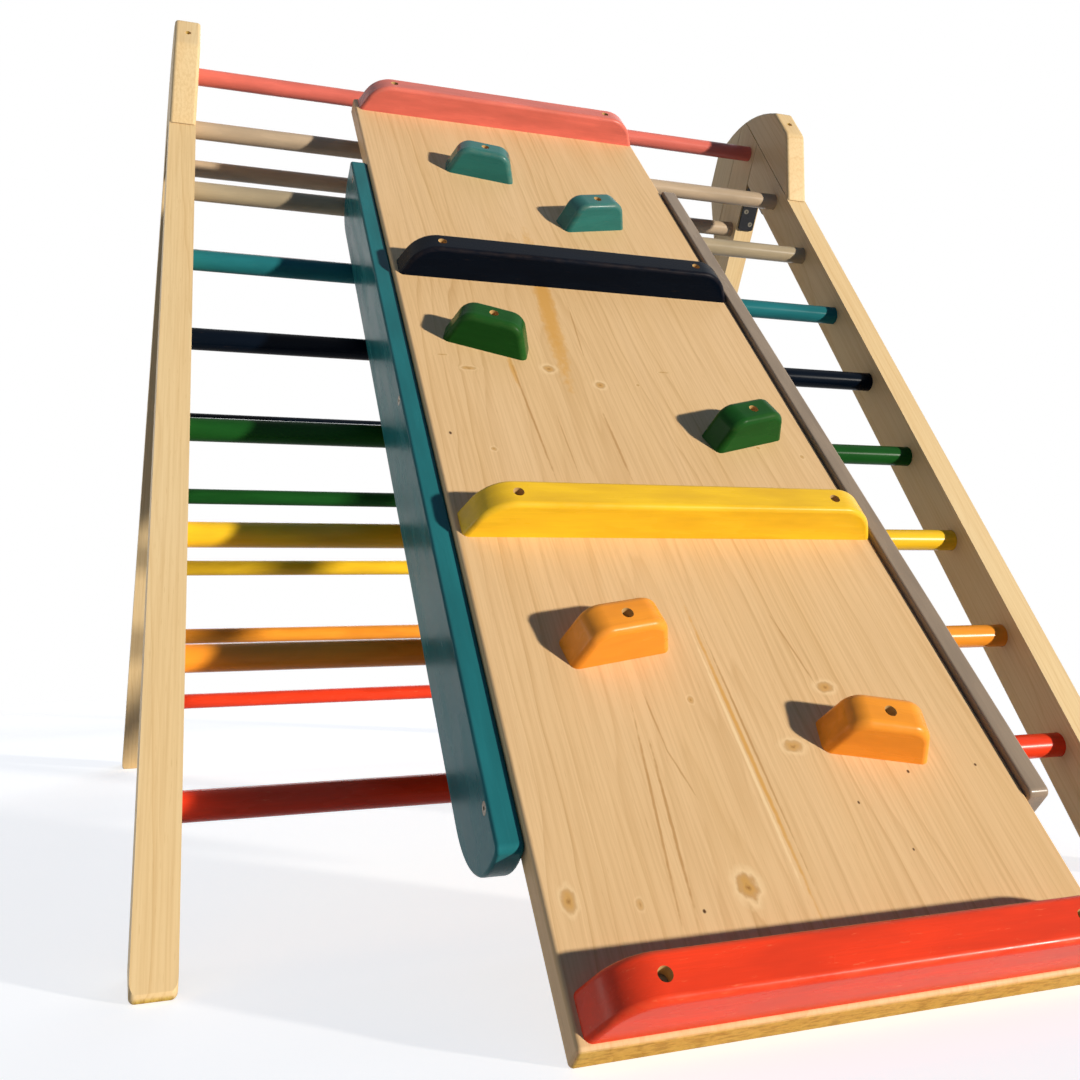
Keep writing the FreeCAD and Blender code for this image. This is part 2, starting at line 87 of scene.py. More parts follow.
class Hand(Enum):
    """Left and right ends of the ladders, with the sign of X."""

    LEFT = -1
    RIGHT = 1


def linear(red: float, green: float, blue: float) -> Colour:
    """Turn a display colour of 0 to 255 into a linear colour with full alpha."""
    channels = []
    for value in (red, green, blue):
        share = value / 255.0
        low = share / 12.92
        high = ((share + 0.055) / 1.055) ** 2.4
        channels.append(low if share <= 0.04045 else high)
    return (channels[0], channels[1], channels[2], 1.0)


# Outlines and solid shapes


@dataclass(frozen=True)
class Corner:
    """One corner of an outline in mm, with its rounding and the rim of the edge after it."""

    a: float
    b: float
    radius: float = 0.0
    rim: float = 1.0


@dataclass(frozen=True)
class Stop:
    """One point of a traced outline, with the rim share of the edge that starts there."""

    point: Vector
    rim: float


def trace(corners: Sequence[Corner], arc_angle: float = ARC_ANGLE) -> list[Stop]:
    """Turn rounded corners into a closed run of points, anticlockwise.

    Args:
        corners: The corners in order round the outline.
        arc_angle: Largest turn between two points of an arc.

    Returns:
        The traced outline.
    """
    stops: list[Stop] = []
    for index, corner in enumerate(corners):
        before = corners[index - 1]
        after = corners[(index + 1) % len(corners)]
        here = Vector((corner.a, corner.b))
        inward = (here - Vector((before.a, before.b))).normalized()
        onward = (Vector((after.a, after.b)) - here).normalized()
        turn = inward.angle(onward)
        if corner.radius <= 0.0 or turn < NEARLY_STRAIGHT:
            stops.append(Stop(here, corner.rim))
            continue
        bend = math.copysign(1.0, inward.x * onward.y - inward.y * onward.x)
        first = here - inward * corner.radius * math.tan(turn / 2)
        centre = first + Vector((-inward.y, inward.x)) * corner.radius * bend
        steps = max(2, math.ceil(turn / arc_angle))
        for step in range(steps + 1):
            spoke = (first - centre).copy()
            spoke.rotate(Matrix.Rotation(bend * turn * step / steps, 2))
            rim = corner.rim if step == steps else min(before.rim, corner.rim)
            stops.append(Stop(centre + spoke, rim))
    area = sum(before.point.cross(stop.point) for before, stop in zip(stops[-1:] + stops, stops))
    if area > 0:
        return stops
    count = len(stops)
    return [Stop(stops[-i - 1].point, stops[(count - i - 2) % count].rim) for i in range(count)]


def clip(outline: Sequence[Stop], normal: Vector, limit: float) -> list[Stop]:
    """Keep the part of an outline on the near side of a straight seam.

    Args:
        outline: The traced outline.
        normal: Unit direction square to the seam, towards the part that goes.
        limit: Distance of the seam along the normal.

    Returns:
        The kept outline, whose seam edge has no rim.
    """
    kept: list[Stop] = []
    for index, stop in enumerate(outline):
        after = outline[(index + 1) % len(outline)].point
        depth = limit - stop.point.dot(normal)
        depth_after = limit - after.dot(normal)
        if depth >= 0:
            kept.append(stop)
        if depth * depth_after < 0:
            crossing = stop.point.lerp(after, depth / (depth - depth_after))
            kept.append(Stop(crossing, 0.0 if depth > 0 else stop.rim))
    return kept


def inset(outline: Sequence[Stop], distance: float) -> list[Vector]:
    """Move every edge of an outline inwards by its rim share of a distance."""
    moved: list[Vector] = []
    count = len(outline)
    for index, stop in enumerate(outline):
        before = outline[index - 1]
        after = outline[(index + 1) % count]
        run_in = (stop.point - before.point).normalized()
        run_out = (after.point - stop.point).normalized()
        normal_in = Vector((-run_in.y, run_in.x))
        normal_out = Vector((-run_out.y, run_out.x))
        in_by = distance * before.rim
        out_by = distance * stop.rim
        cross = normal_in.x * normal_out.y - normal_in.y * normal_out.x
        if abs(cross) < NEARLY_STRAIGHT:
            moved.append(stop.point + (normal_in + normal_out).normalized() * (in_by + out_by) / 2)
            continue
        aside = (in_by * normal_out.y - out_by * normal_in.y) / cross
        along = (out_by * normal_in.x - in_by * normal_out.x) / cross
        moved.append(stop.point + Vector((aside, along)))
    return moved


def loft(shape: bmesh.types.BMesh, rings: Sequence[Sequence[bmesh.types.BMVert]]) -> None:
    """Join rings of as many points each into a closed solid."""
    shape.faces.new(list(reversed(rings[0])))
    shape.faces.new(rings[-1])
    count = len(rings[0])
    for lower, upper in zip(rings, rings[1:]):
        for i in range(count):
            j = (i + 1) % count
            shape.faces.new((lower[i], lower[j], upper[j], upper[i]))


def plate(outline: Sequence[Stop], thickness: float, rounding: float, steps: int = 5) -> bmesh.types.BMesh:
    """Plate of this outline with rounded rims, from local Z zero upwards.

    Args:
        outline: Traced outline in mm.
        thickness: Thickness in mm.
        rounding: Radius of both rims in mm.
        steps: Facets of each rounded rim.

    Returns:
        A mesh in mm with a value that is highest mid-rim, marking edge wear and a painted sheen on the rims.
    """
    shape = bmesh.new()
    wear = shape.verts.layers.float.new("wear")
    turns = [math.pi / 2 * step / steps for step in range(steps + 1)]
    # Mid-rim value: edge wear and a painted sheen along each rounded rim.
    rows = [(rounding * (1 - math.sin(t)), rounding * (1 - math.cos(t)), math.sin(2 * t)) for t in turns]
    rows += [(back, thickness - height, worn_and_sheen) for back, height, worn_and_sheen in reversed(rows)]
    rings = []
    for back, height, worn_and_sheen in rows:
        ring = []
        for stop, point in zip(outline, inset(outline, back)):
            vertex = shape.verts.new((point.x, point.y, height))
            vertex[wear] = worn_and_sheen * stop.rim
            ring.append(vertex)
        rings.append(ring)
    loft(shape, rings)
    return shape


def circle(radius: float, segments: int) -> list[tuple[float, float]]:
    """Points evenly round a circle."""
    angles = [2 * math.pi * segment / segments for segment in range(segments)]
    return [(radius * math.cos(angle), radius * math.sin(angle)) for angle in angles]


def lathe(profile: Sequence[tuple[float, float]], segments: int) -> bmesh.types.BMesh:
    """Solid turned about local Z from (height, radius) pairs in mm, closed at both ends."""
    shape = bmesh.new()
    shape.verts.layers.float.new("wear")
    rings = []
    for height, radius in profile:
        rings.append([shape.verts.new((*point, height)) for point in circle(radius, segments)])
    loft(shape, rings)
    return shape


def axes_matrix(x_axis: Vector, y_axis: Vector, z_axis: Vector, origin: Vector) -> Matrix:
    """Placement in metres from three axes and an origin."""
    turn = Matrix((x_axis, y_axis, z_axis)).transposed().to_4x4()
    return Matrix.Translation(origin) @ turn


@dataclass(frozen=True)
class Bore:
    """Turned hole: its mouth in metres, the direction into the wood and its profile in mm."""

    mouth: Vector
    direction: Vector
    profile: tuple[tuple[float, float], ...]

    def shape(self) -> bmesh.types.BMesh:
        """Mesh of the hollow, in metres."""
        hollow = lathe(self.profile, BORE_SEGMENTS)
        mark = hollow.faces.layers.float.new("bore")
        for face in hollow.faces:
            face[mark] = 1.0
        turn = self.direction.to_track_quat("Z", "Y").to_matrix().to_4x4()
        hollow.transform(Matrix.Translation(self.mouth) @ turn @ Matrix.Scale(MM, 4))
        return hollow


@dataclass(frozen=True)
class ScrewSeat:
    """Sizes in mm of the hole for a countersunk screw."""

    head_radius: float = 4.2
    shank_radius: float = 2.2
    sink: float = 0.0
    clearance: float = 0.18
    lead: float = 1.0
    tail: float = 3.0

    def bore(self, mouth: Vector, direction: Vector) -> Bore:
        """Hole with its mouth on the wood's surface."""
        wide = self.head_radius + self.clearance
        cone_end = self.sink + self.head_radius - self.shank_radius + self.clearance
        profile = (
            (-self.lead, wide),
            (self.sink + self.clearance / 2, wide),
            (cone_end, self.shank_radius + self.clearance),
            (cone_end + self.tail, self.shank_radius + self.clearance),
        )
        return Bore(mouth, direction, profile)


GRAIN_LENGTH = 6.0


@dataclass(frozen=True)
class GrainFrame:
    """Directions of the fibres in one piece, and where its pith lies."""

    origin: Vector
    along: Vector
    across: Vector
    pith: Vector = Vector((0.0, 0.0, 0.0))


def evaluated(piece: bpy.types.Object) -> None:
    """Turn a piece's modifiers into its own mesh."""
    bpy.context.view_layer.update()
    graph = bpy.context.evaluated_depsgraph_get()
    mesh = bpy.data.meshes.new_from_object(piece.evaluated_get(graph))
    piece.modifiers.clear()
    old = piece.data
    piece.data = mesh
    bpy.data.meshes.remove(old)
    mesh.name = piece.name


def new_object(name: str, shape: bmesh.types.BMesh) -> bpy.types.Object:
    """Link a mesh made in metres to the scene."""
    bmesh.ops.recalc_face_normals(shape, faces=shape.faces)
    mesh = bpy.data.meshes.new(name)
    shape.to_mesh(mesh)
    shape.free()
    piece = bpy.data.objects.new(name, mesh)
    bpy.context.scene.collection.objects.link(piece)
    return piece


def cut(piece: bpy.types.Object, bores: Sequence[Bore]) -> None:
    """Take all the bores out of a piece in one pass."""
    if not bores:
        return
    joined = bmesh.new()
    for bore in bores:
        hollow = bore.shape()
        mesh = bpy.data.meshes.new("hollow")
        hollow.to_mesh(mesh)
        hollow.free()
        joined.from_mesh(mesh)
        bpy.data.meshes.remove(mesh)
    tool = new_object("hollows", joined)
    modifier = piece.modifiers.new("hollows", "BOOLEAN")
    modifier.operation = "DIFFERENCE"
    modifier.solver = "EXACT"
    modifier.object = tool
    evaluated(piece)
    mesh = tool.data
    bpy.data.objects.remove(tool)
    bpy.data.meshes.remove(mesh)


def lay_grain(piece: bpy.types.Object, grain: GrainFrame) -> None:
    """Store the fibre coordinates of each vertex and how far each face is end grain."""
    mesh = piece.data
    count = len(mesh.vertices)
    places = np.empty(count * 3)
    mesh.vertices.foreach_get("co", places)
    places = places.reshape(-1, 3) - np.array(grain.origin)
    through = grain.along.cross(grain.across)
    axes = np.array((grain.along, grain.across, through))
    values = places @ axes.T + np.array(grain.pith)
    layer = mesh.attributes.new("grain", "FLOAT_VECTOR", "POINT")
    layer.data.foreach_set("vector", values.astype(np.float32).ravel())
    normals = np.empty(len(mesh.polygons) * 3)
    mesh.polygons.foreach_get("normal", normals)
    ends = np.abs(normals.reshape(-1, 3) @ np.array(grain.along))
    layer = mesh.attributes.new("end", "FLOAT", "FACE")
    layer.data.foreach_set("value", ends.astype(np.float32))


def smooth(piece: bpy.types.Object) -> None:
    """Shade a piece smooth, with its hard edges kept and its flats flat."""
    mesh = piece.data
    mesh.polygons.foreach_set("use_smooth", np.ones(len(mesh.polygons), dtype=bool))
    mesh.set_sharp_from_angle(angle=SHARP_ANGLE)
    modifier = piece.modifiers.new("flats", "WEIGHTED_NORMAL")
    modifier.keep_sharp = True
    modifier.weight = 100
    evaluated(piece)


# Node materials


HALF = (0.5, 0.5, 0.5)
ROUGH_BAND = (0.25, 0.75)
ROUGH_LESS = 0.06
ROUGH_MORE = 0.08


def toned(colour: Colour, factor: float) -> Colour:
    """A colour made darker or lighter by a factor."""
    red, green, blue = (min(1.0, channel * factor) for channel in colour[:3])
    return (red, green, blue, 1.0)


@dataclass(frozen=True)
class Mottle:
    """Noise pattern: cells per metre on each axis, detail, roughness, and the band in which it shows."""

    cells: Triple
    detail: float = 2.0
    roughness: float = 0.5
    low: float = 0.0
    high: float = 1.0
    most: float = 1.0


@dataclass(frozen=True)
class Signal:
    """Number, vector or colour on its way through a node tree, whose sums are operators."""

    tree: bpy.types.NodeTree
    socket: bpy.types.NodeSocket

    def through(self, kind: str, inputs: dict[Any, Any], output: int | str = 0, **settings: Any) -> "Signal":
        """Output of a new node in the same tree."""
        return Signal(self.tree, add_node(self.tree, kind, inputs, **settings).outputs[output])

    def joined(self, operation: str, other: Any = None) -> "Signal":
        """One sum on this value and another.

        Args:
            operation: Name of the sum.
            other: A signal, number or triple, or nothing for a sum on one value.

        Returns:
            A number when this value is a number and the other is no triple, and a vector otherwise.
        """
        plain = self.socket.type == "VALUE" and not isinstance(other, tuple)
        terms = {0: self} if other is None else {0: self, 1: other}
        return self.through("Math" if plain else "VectorMath", terms, operation=operation)

    def __add__(self, other: Any) -> "Signal":
        """Sum."""
        return self.joined("ADD", other)

    def __sub__(self, other: Any) -> "Signal":
        """Difference."""
        return self.joined("SUBTRACT", other)

    def __mul__(self, other: Any) -> "Signal":
        """Product, term by term."""
        return self.joined("MULTIPLY", other)

    def __truediv__(self, other: Any) -> "Signal":
        """Quotient."""
        return self.joined("DIVIDE", other)

    def length(self) -> "Signal":
        """Length of a vector."""
        return self.through("VectorMath", {0: self}, "Value", operation="LENGTH")

    def dot(self, other: Triple) -> "Signal":
        """Dot product with a vector."""
        return self.through("VectorMath", {0: self, 1: other}, "Value", operation="DOT_PRODUCT")

    def noise(self, mottle: Mottle, output: str = "Fac") -> "Signal":
        """Raw noise at this place."""
        grit = {"Scale": 1.0, "Detail": mottle.detail, "Roughness": mottle.roughness}
        return self.through("TexNoise", {"Vector": self * mottle.cells, **grit}, output)

    def mapped(self, low: float, high: float, new_low: float, new_high: float) -> "Signal":
        """This number taken from one range to another, clamped."""
        ends = {"Value": self, "From Min": low, "From Max": high, "To Min": new_low, "To Max": new_high}
        return self.through("MapRange", ends, "Result")

    def band(self, mottle: Mottle) -> "Signal":
        """How far raw noise shows in its pattern's band."""
        return self.mapped(mottle.low, mottle.high, 0.0, mottle.most)

    def roughened(self, roughness: float) -> "Signal":
        """Roughness that follows raw noise about its middle value."""
        return self.mapped(*ROUGH_BAND, roughness - ROUGH_LESS, roughness + ROUGH_MORE)

    def blend(self, first: Any, second: Any) -> "Signal":
        """Colour that goes from one colour to another as this number rises."""
        node = add_node(self.tree, "Mix", data_type="RGBA")
        for index, value in ((0, self), (6, first), (7, second)):
            feed(self.tree, node.inputs[index], value)
        return Signal(self.tree, node.outputs[2])

    def ramp(self, stops: Sequence[tuple[float, float]]) -> "Signal":
        """Grey ramp through (place, level) pairs."""
        node = add_node(self.tree, "ValToRGB", {"Fac": self})
        elements = node.color_ramp.elements
        while len(elements) < len(stops):
            elements.new(1.0)
        for element, (place, level) in zip(elements, stops):
            element.position = place
            element.color = (level, level, level, 1.0)
        return Signal(self.tree, node.outputs["Color"])


def feed(tree: bpy.types.NodeTree, socket: bpy.types.NodeSocket, value: Any) -> None:
    """Link a signal or a node's first output to a socket, or set the socket's own value."""
    if isinstance(value, Signal):
        tree.links.new(value.socket, socket)
    elif isinstance(value, bpy.types.Node):
        tree.links.new(value.outputs[0], socket)
    else:
        socket.default_value = value


def add_node(
    tree: bpy.types.NodeTree, kind: str, inputs: dict[Any, Any] | None = None, **settings: Any
) -> bpy.types.Node:
    """Add a shader node.

    Args:
        tree: Node tree that gets it.
        kind: Its type, without the prefix that all shader nodes share.
        inputs: What feeds its sockets, by name or number.
        settings: Its own properties.

    Returns:
        The new node.
    """
    node = tree.nodes.new("ShaderNode" + kind)
    for name, value in settings.items():
        setattr(node, name, value)
    for name, value in (inputs or {}).items():
        feed(tree, node.inputs[name], value)
    return node


def background_rays(tree: bpy.types.NodeTree) -> Signal:
    """Signal that is 1 for rays of the camera, of gloss and through glass, and 0 for all others."""
    rays = add_node(tree, "LightPath")
    names = ("Is Camera Ray", "Is Glossy Ray", "Is Transmission Ray")
    camera, glossy, through = (Signal(tree, rays.outputs[name]) for name in names)
    return camera.joined("MAXIMUM", glossy).joined("MAXIMUM", through)


class Sketch:
    """Node tree of one material, with its shader."""

    def __init__(self, name: str) -> None:
        self.material = bpy.data.materials.new(name)
        self.material.use_nodes = True
        self.tree = self.material.node_tree
        self.tree.nodes.clear()
        self.shader = add_node(self.tree, "BsdfPrincipled")
        self.output = add_node(self.tree, "OutputMaterial", {"Surface": self.shader})

    def attribute(self, name: str, output: str = "Fac") -> Signal:
        """A stored mesh value."""
        node = add_node(self.tree, "Attribute", attribute_name=name)
        return Signal(self.tree, node.outputs[output])

    def place(self) -> Signal:
        """The point in the object's own coordinates."""
        return Signal(self.tree, add_node(self.tree, "TexCoord").outputs["Object"])

    def shade(self, inputs: dict[str, Any]) -> None:
        """Feed the shader's sockets."""
        for name, value in inputs.items():
            feed(self.tree, self.shader.inputs[name], value)

    def bump(self, height: Signal, strength: float, distance: float) -> None:
        """Raise the surface by a height pattern."""
        relief = {"Height": height, "Strength": strength, "Distance": distance}
        self.shade({"Normal": add_node(self.tree, "Bump", relief)})


@dataclass(frozen=True)
class BareWood:
    """Lacquered pale softwood with growth rings that run through the solid."""

    name: str
    early: Colour = linear(232, 204, 154)
    late: Colour = linear(190, 148, 88)
    warm: Colour = linear(222, 180, 120)
    end_tint: Triple = (0.88, 0.85, 0.38)
    end_line: Colour = linear(158, 116, 50)
    end_band: tuple[float, float] = (0.75, 0.98)
    end_rough: float = 0.18
    pith: tuple[float, float] = (0.0, 0.0)
    ring_pitch: float = 0.0046
    ring_least: float = 0.18
    ring_levels: tuple[tuple[float, float], ...] = (
        (0.0, 0.30), (0.10, 0.02), (0.55, 0.10), (0.86, 0.72), (0.95, 1.0), (1.0, 0.34)
    )
    taper: float = 0.035
    line_strength: float = 0.50
    line_least_share: float = 0.5
    line_band: tuple[float, float] = (0.3, 0.7)
    line_relief: float = 0.5
    rub: float = 0.175
    roughness: float = 0.46
    gloss: float = 0.14
    relief: tuple[float, float] = (0.22, 0.0003)
    broad: Mottle = Mottle((2.2, 9.0, 9.0), most=0.050)
    fine: Mottle = Mottle((9.0, 55.0, 55.0), most=0.006)
    uneven: Mottle = Mottle((0.0, 90.0, 90.0), 1.0, most=1.1)
    tone: Mottle = Mottle((2.4, 22.0, 22.0), 2.0, 0.5, 0.35, 0.75, 0.40)
    fibre: Mottle = Mottle((7.0, 420.0, 420.0), 3.0, 0.6, 0.42, 0.70, 0.28)
    fleck: Mottle = Mottle((70.0, 1100.0, 1100.0), 1.0, 0.5, 0.66, 0.80, 0.30)
    wavy: Mottle = Mottle((0.0, 90.0, 420.0), 3.0, 0.6, 0.48, 0.60, 0.55)

    def rings(self, grain: Signal) -> Signal:
        """How far each point lies into the dark part of its growth ring."""
        bent = grain - (0.0, *self.pith)
        for mottle in (self.broad, self.fine):
            bent = bent + (grain.noise(mottle, "Color") - HALF) * (0.0, mottle.most, mottle.most)
        radius = (bent * (0.0, 1.0, 1.0)).length()
        count = (radius + grain.dot((self.taper, 0.0, 0.0))) / self.ring_pitch
        count = count + bent.noise(self.uneven) * self.uneven.most
        number = count.joined("FLOOR")
        chance = number.through("TexWhiteNoise", {"W": number}, "Value", noise_dimensions="1D")
        level = chance.mapped(0.0, 1.0, self.ring_least, 1.0)
        return level * level * (count - number).ramp(self.ring_levels)

    def pattern(self, grain: Signal) -> tuple[Signal, Signal, Signal]:
        """Colour, height and slow change of tone of the grain, from its fibre coordinates in metres."""
        line = self.rings(grain)
        tone = grain.noise(self.tone)
        fibre = grain.noise(self.fibre)
        faint = self.line_strength * self.line_least_share
        strength = tone.mapped(*self.line_band, faint, self.line_strength)
        colour = (line * strength).blend(self.early, self.late)
        colour = tone.band(self.tone).blend(colour, self.warm)
        colour = fibre.band(self.fibre).blend(colour, self.late)
        colour = grain.noise(self.fleck).band(self.fleck).blend(colour, self.late)
        return colour, fibre + line * self.line_relief, tone

    def dressed(self, sketch: Sketch, colour: Signal, height: Signal, tone: Signal) -> bpy.types.Material:
        """Finish the shader from its colour, height and tone."""
        end = sketch.attribute("end").mapped(*self.end_band, 0.0, 1.0)
        wavy = sketch.attribute("grain", "Vector").noise(self.wavy).band(self.wavy)
        colour = end.blend(colour, wavy.blend(colour * self.end_tint, self.end_line))
        colour = (sketch.attribute("wear") * self.rub).blend(colour, self.early)
        rough = tone.roughened(self.roughness) + end * self.end_rough
        sketch.shade({"Base Color": colour, "Roughness": rough, "Specular IOR Level": self.gloss})
        sketch.bump(height, *self.relief)
        return sketch.material

    def material(self) -> bpy.types.Material:
        """Make the material."""
        sketch = Sketch(self.name)
        return self.dressed(sketch, *self.pattern(sketch.attribute("grain", "Vector")))


@dataclass(frozen=True)
class Knot:
    """Mark in the plank's face: place, radii and slant in mm, depth and halo of its tint, and its colours."""

    across: float
    along: float
    half_width: float
    half_length: float
    depth: float
    ring: float = 0.0
    slant: float = 0.0
    core: Colour = linear(204, 156, 84)
    rim: Colour = linear(168, 118, 60)


@dataclass(frozen=True)
class PlankWood(BareWood):
    """Wide board with knots, pin marks and a resin streak."""

    knots: tuple[Knot, ...] = ()
    halo: Colour = linear(240, 208, 158)
    heart: Colour = linear(126, 80, 38)
    halo_share: float = 0.9
    rim_share: float = 0.7
    heart_share: float = 0.75
    rim_reach: tuple[float, float] = (0.80, 1.15)
    core_reach: tuple[float, float] = (0.40, 0.95)
    heart_reach: tuple[float, float] = (0.05, 0.34)
    bend_least: float = 3.5
    bend_length: float = 3.2
    bend_width: float = 2.6
    bend_pull: float = 0.85
    ragged: Mottle = Mottle((150.0, 210.0, 100.0))
    ragged_pull: Triple = (0.9, 0.8, 0.0)

    def layers(self, knot: Knot) -> list[tuple[float, float, float, Colour]]:
        """Inner reach, outer reach, depth and colour of each layer of a knot, in the order of painting."""
        rim = (*self.rim_reach, knot.depth * self.rim_share, knot.rim)
        core = (*self.core_reach, knot.depth, knot.core)
        if knot.ring <= 0:
            return [rim, core]
        halo = (1.0, 1.0 + knot.ring, knot.depth * self.halo_share, self.halo)
        heart = (*self.heart_reach, knot.depth * self.heart_share, self.heart)
        return [halo, rim, core, heart]

    def material(self) -> bpy.types.Material:
        """Make the material, with the grain bent round each knot."""
        sketch = Sketch(self.name)
        grain = sketch.attribute("grain", "Vector")
        ragged = (grain.noise(self.ragged, "Color") - HALF) * self.ragged_pull
        bent = grain
        reaches = []
        for knot in self.knots:
            offset = grain - (knot.along * MM, knot.across * MM, 0.0)
            if knot.slant:
                offset = offset + offset.dot((knot.slant, 0.0, 0.0)) * (0.0, -1.0, 0.0)
            per_length = 1.0 / (knot.half_length * MM)
            per_width = 1.0 / (knot.half_width * MM)
            reaches.append((offset * (per_length, per_width, 0.0) + ragged).length())
            if knot.half_width >= self.bend_least and not knot.slant:
                swell = (offset * (per_length / self.bend_length, per_width / self.bend_width, 0.0)).length()
                near = swell.mapped(0.0, 1.0, 1.0, 0.0)
                bent = bent + offset * (0.0, -self.bend_pull, 0.0) * (near * near)
        colour, height, tone = self.pattern(bent)
        for knot, reach in zip(self.knots, reaches):
            for inner, outer, depth, tint in self.layers(knot):
                colour = reach.mapped(inner, outer, depth, 0.0).blend(colour, tint)
        return self.dressed(sketch, colour, height, tone)


@dataclass(frozen=True)
class Paint:
    """Half-gloss paint over wood, a little uneven, worn and with a painted sheen on the ridges."""

    name: str
    colour: Colour
    worn_and_sheen: Colour
    gloss: float
    scuffs: float
    raw: Colour = linear(204, 166, 108)
    roughness: float = 0.25
    deep: float = 0.80
    pale: float = 1.08
    wear_and_sheen_strength: float = 0.22
    wear_and_sheen_least: float = 0.15
    wear_rough: float = 0.12
    raw_rough: float = 0.3
    patch_relief: float = 0.6
    relief: tuple[float, float] = (0.16, 0.00025)
    cloud: Mottle = Mottle((14.0, 60.0, 60.0), 3.0, 0.5, 0.3, 0.7)
    streak: Mottle = Mottle((18.0, 900.0, 900.0), 3.0, 0.5, 0.35, 0.7, 0.30)
    patch: Mottle = Mottle((70.0, 220.0, 220.0), 4.0, 0.65, 0.35, 0.62)
    scratch: Mottle = Mottle((55.0, 420.0, 420.0), 5.0, 0.7, 0.62, 0.70)

    def material(self) -> bpy.types.Material:
        """Make the material."""
        sketch = Sketch(self.name)
        grain = sketch.attribute("grain", "Vector")
        bored = sketch.attribute("bore")
        cloud = grain.noise(self.cloud)
        streak = grain.noise(self.streak)
        patch = grain.noise(self.patch)
        deep = toned(self.colour, self.deep)
        colour = cloud.band(self.cloud).blend(deep, toned(self.colour, self.pale))
        colour = streak.band(self.streak).blend(colour, deep)
        patchy = patch.mapped(self.patch.low, self.patch.high, self.wear_and_sheen_least, 1.0)
        # Ridges drawn paler: edge wear and a painted sheen standing in for glints.
        rubbed_and_sheen = sketch.attribute("wear") * patchy
        colour = (rubbed_and_sheen * self.wear_and_sheen_strength).blend(colour, self.worn_and_sheen)
        scratched = grain.noise(self.scratch).band(self.scratch) * self.scuffs
        colour = bored.blend(scratched.blend(colour, self.worn_and_sheen), self.raw)
        rough = cloud.roughened(self.roughness) + rubbed_and_sheen * self.wear_rough + bored * self.raw_rough
        sketch.shade({"Base Color": colour, "Roughness": rough, "Specular IOR Level": self.gloss})
        sketch.bump(streak + patch * self.patch_relief, *self.relief)
        return sketch.material


@dataclass(frozen=True)
class Steel:
    """Plated or blackened steel with fine scratches."""

    name: str
    colour: Colour
    metallic: float
    roughness: float
    dull: float = 0.7
    relief: tuple[float, float] = (0.15, 0.0001)
    scratch_band: tuple[float, float] = (0.3, 0.7)
    less_rough: float = 0.08
    more_rough: float = 0.14
    cloud: Mottle = Mottle((260.0, 260.0, 260.0), 3.0, 0.5, 0.35, 0.7)
    scratch: Mottle = Mottle((400.0, 400.0, 2400.0))

    def material(self) -> bpy.types.Material:
        """Make the material."""
        sketch = Sketch(self.name)
        place = sketch.place()
        cloud = place.noise(self.cloud).band(self.cloud)
        scratch = place.noise(self.scratch)
        colour = cloud.blend(self.colour, toned(self.colour, self.dull))
        least = self.roughness - self.less_rough
        rough = scratch.mapped(*self.scratch_band, least, self.roughness + self.more_rough)
        sketch.shade({"Base Color": colour, "Roughness": rough, "Metallic": self.metallic})
        sketch.bump(scratch, *self.relief)
        return sketch.material


class PaintTone(Enum):
    """Colours of the painted pieces."""

    CORAL = linear(226, 114, 98)
    TAUPE = linear(188, 165, 136)
    STONE = linear(172, 155, 125)
    TEAL = linear(36, 112, 116)
    NAVY = linear(6, 15, 27)
    GREEN = linear(26, 80, 30)
    YELLOW = linear(255, 199, 40)
    ORANGE = linear(254, 156, 46)
    RED = linear(246, 66, 32)
    GREY = linear(150, 132, 112)
    MOSS = linear(40, 112, 106)

    @property
    def slot(self) -> str:
        """Material slot of the pieces in this colour."""
        return "paint_" + self.name.lower()


@dataclass(frozen=True)
class PaintRange:
    """How much each paint shines, fades on its ridges with wear and a painted sheen, and is scuffed."""

    worn_and_sheen_to: Colour = linear(248, 190, 130)
    worn_and_sheen_share: float = 0.30
    gloss: float = 0.15
    dark_tones: tuple[PaintTone, ...] = (PaintTone.NAVY, PaintTone.GREEN, PaintTone.TEAL)
    dark_worn_and_sheen_share: float = 0.07
    dark_gloss: float = 0.04
    scuffs: float = 0.12
    red_scuffs: float = 0.55

    def material(self, tone: PaintTone) -> bpy.types.Material:
        """Make the paint of one colour."""
        dark = tone in self.dark_tones
        share = self.dark_worn_and_sheen_share if dark else self.worn_and_sheen_share
        gloss = self.dark_gloss if dark else self.gloss
        scuffs = self.red_scuffs if tone is PaintTone.RED else self.scuffs
        # Pale rim colour: serves scuffs, edge wear and the painted sheen on the ridges.
        worn_and_sheen = tuple(channel + share * (pale - channel) for channel, pale in zip(tone.value, self.worn_and_sheen_to))
        return Paint(tone.slot, tone.value, worn_and_sheen, gloss, scuffs).material()


class Palette:
    """Makes each finish once and hands it out by name."""

    def __init__(self) -> None:
        self.rail_wood = BareWood("rail_wood").material()
        self.plank_wood = PlankWood(
            "plank_wood",
            early=linear(229, 192, 142),
            late=linear(182, 138, 82),
            warm=linear(218, 178, 122),
            line_strength=0.70,
            ring_pitch=0.0078,
            pith=(0.132, -0.048),
            knots=plank_marks(),
        ).material()
        self.black_steel = Steel("black_steel", linear(34, 34, 36), 0.6, 0.42).material()
        self.screw_steel = Steel("screw_steel", linear(132, 124, 108), 1.0, 0.36).material()
        self.paints = {tone: PaintRange().material(tone) for tone in PaintTone}


def pin_mark(across: float, along: float, half_width: float, half_length: float, depth: float) -> Knot:
    """Small dark knot with no ring."""
    dark = linear(84, 56, 32)
    return Knot(across, along, half_width, half_length, depth, core=dark, rim=dark)


def streak(
    tint: Colour,
    across: float,
    along: float,
    half_width: float,
    half_length: float,
    depth: float,
    slant: float,
) -> Knot:
    """Long mark in one colour."""
    return Knot(across, along, half_width, half_length, depth, 0.0, slant, tint, tint)


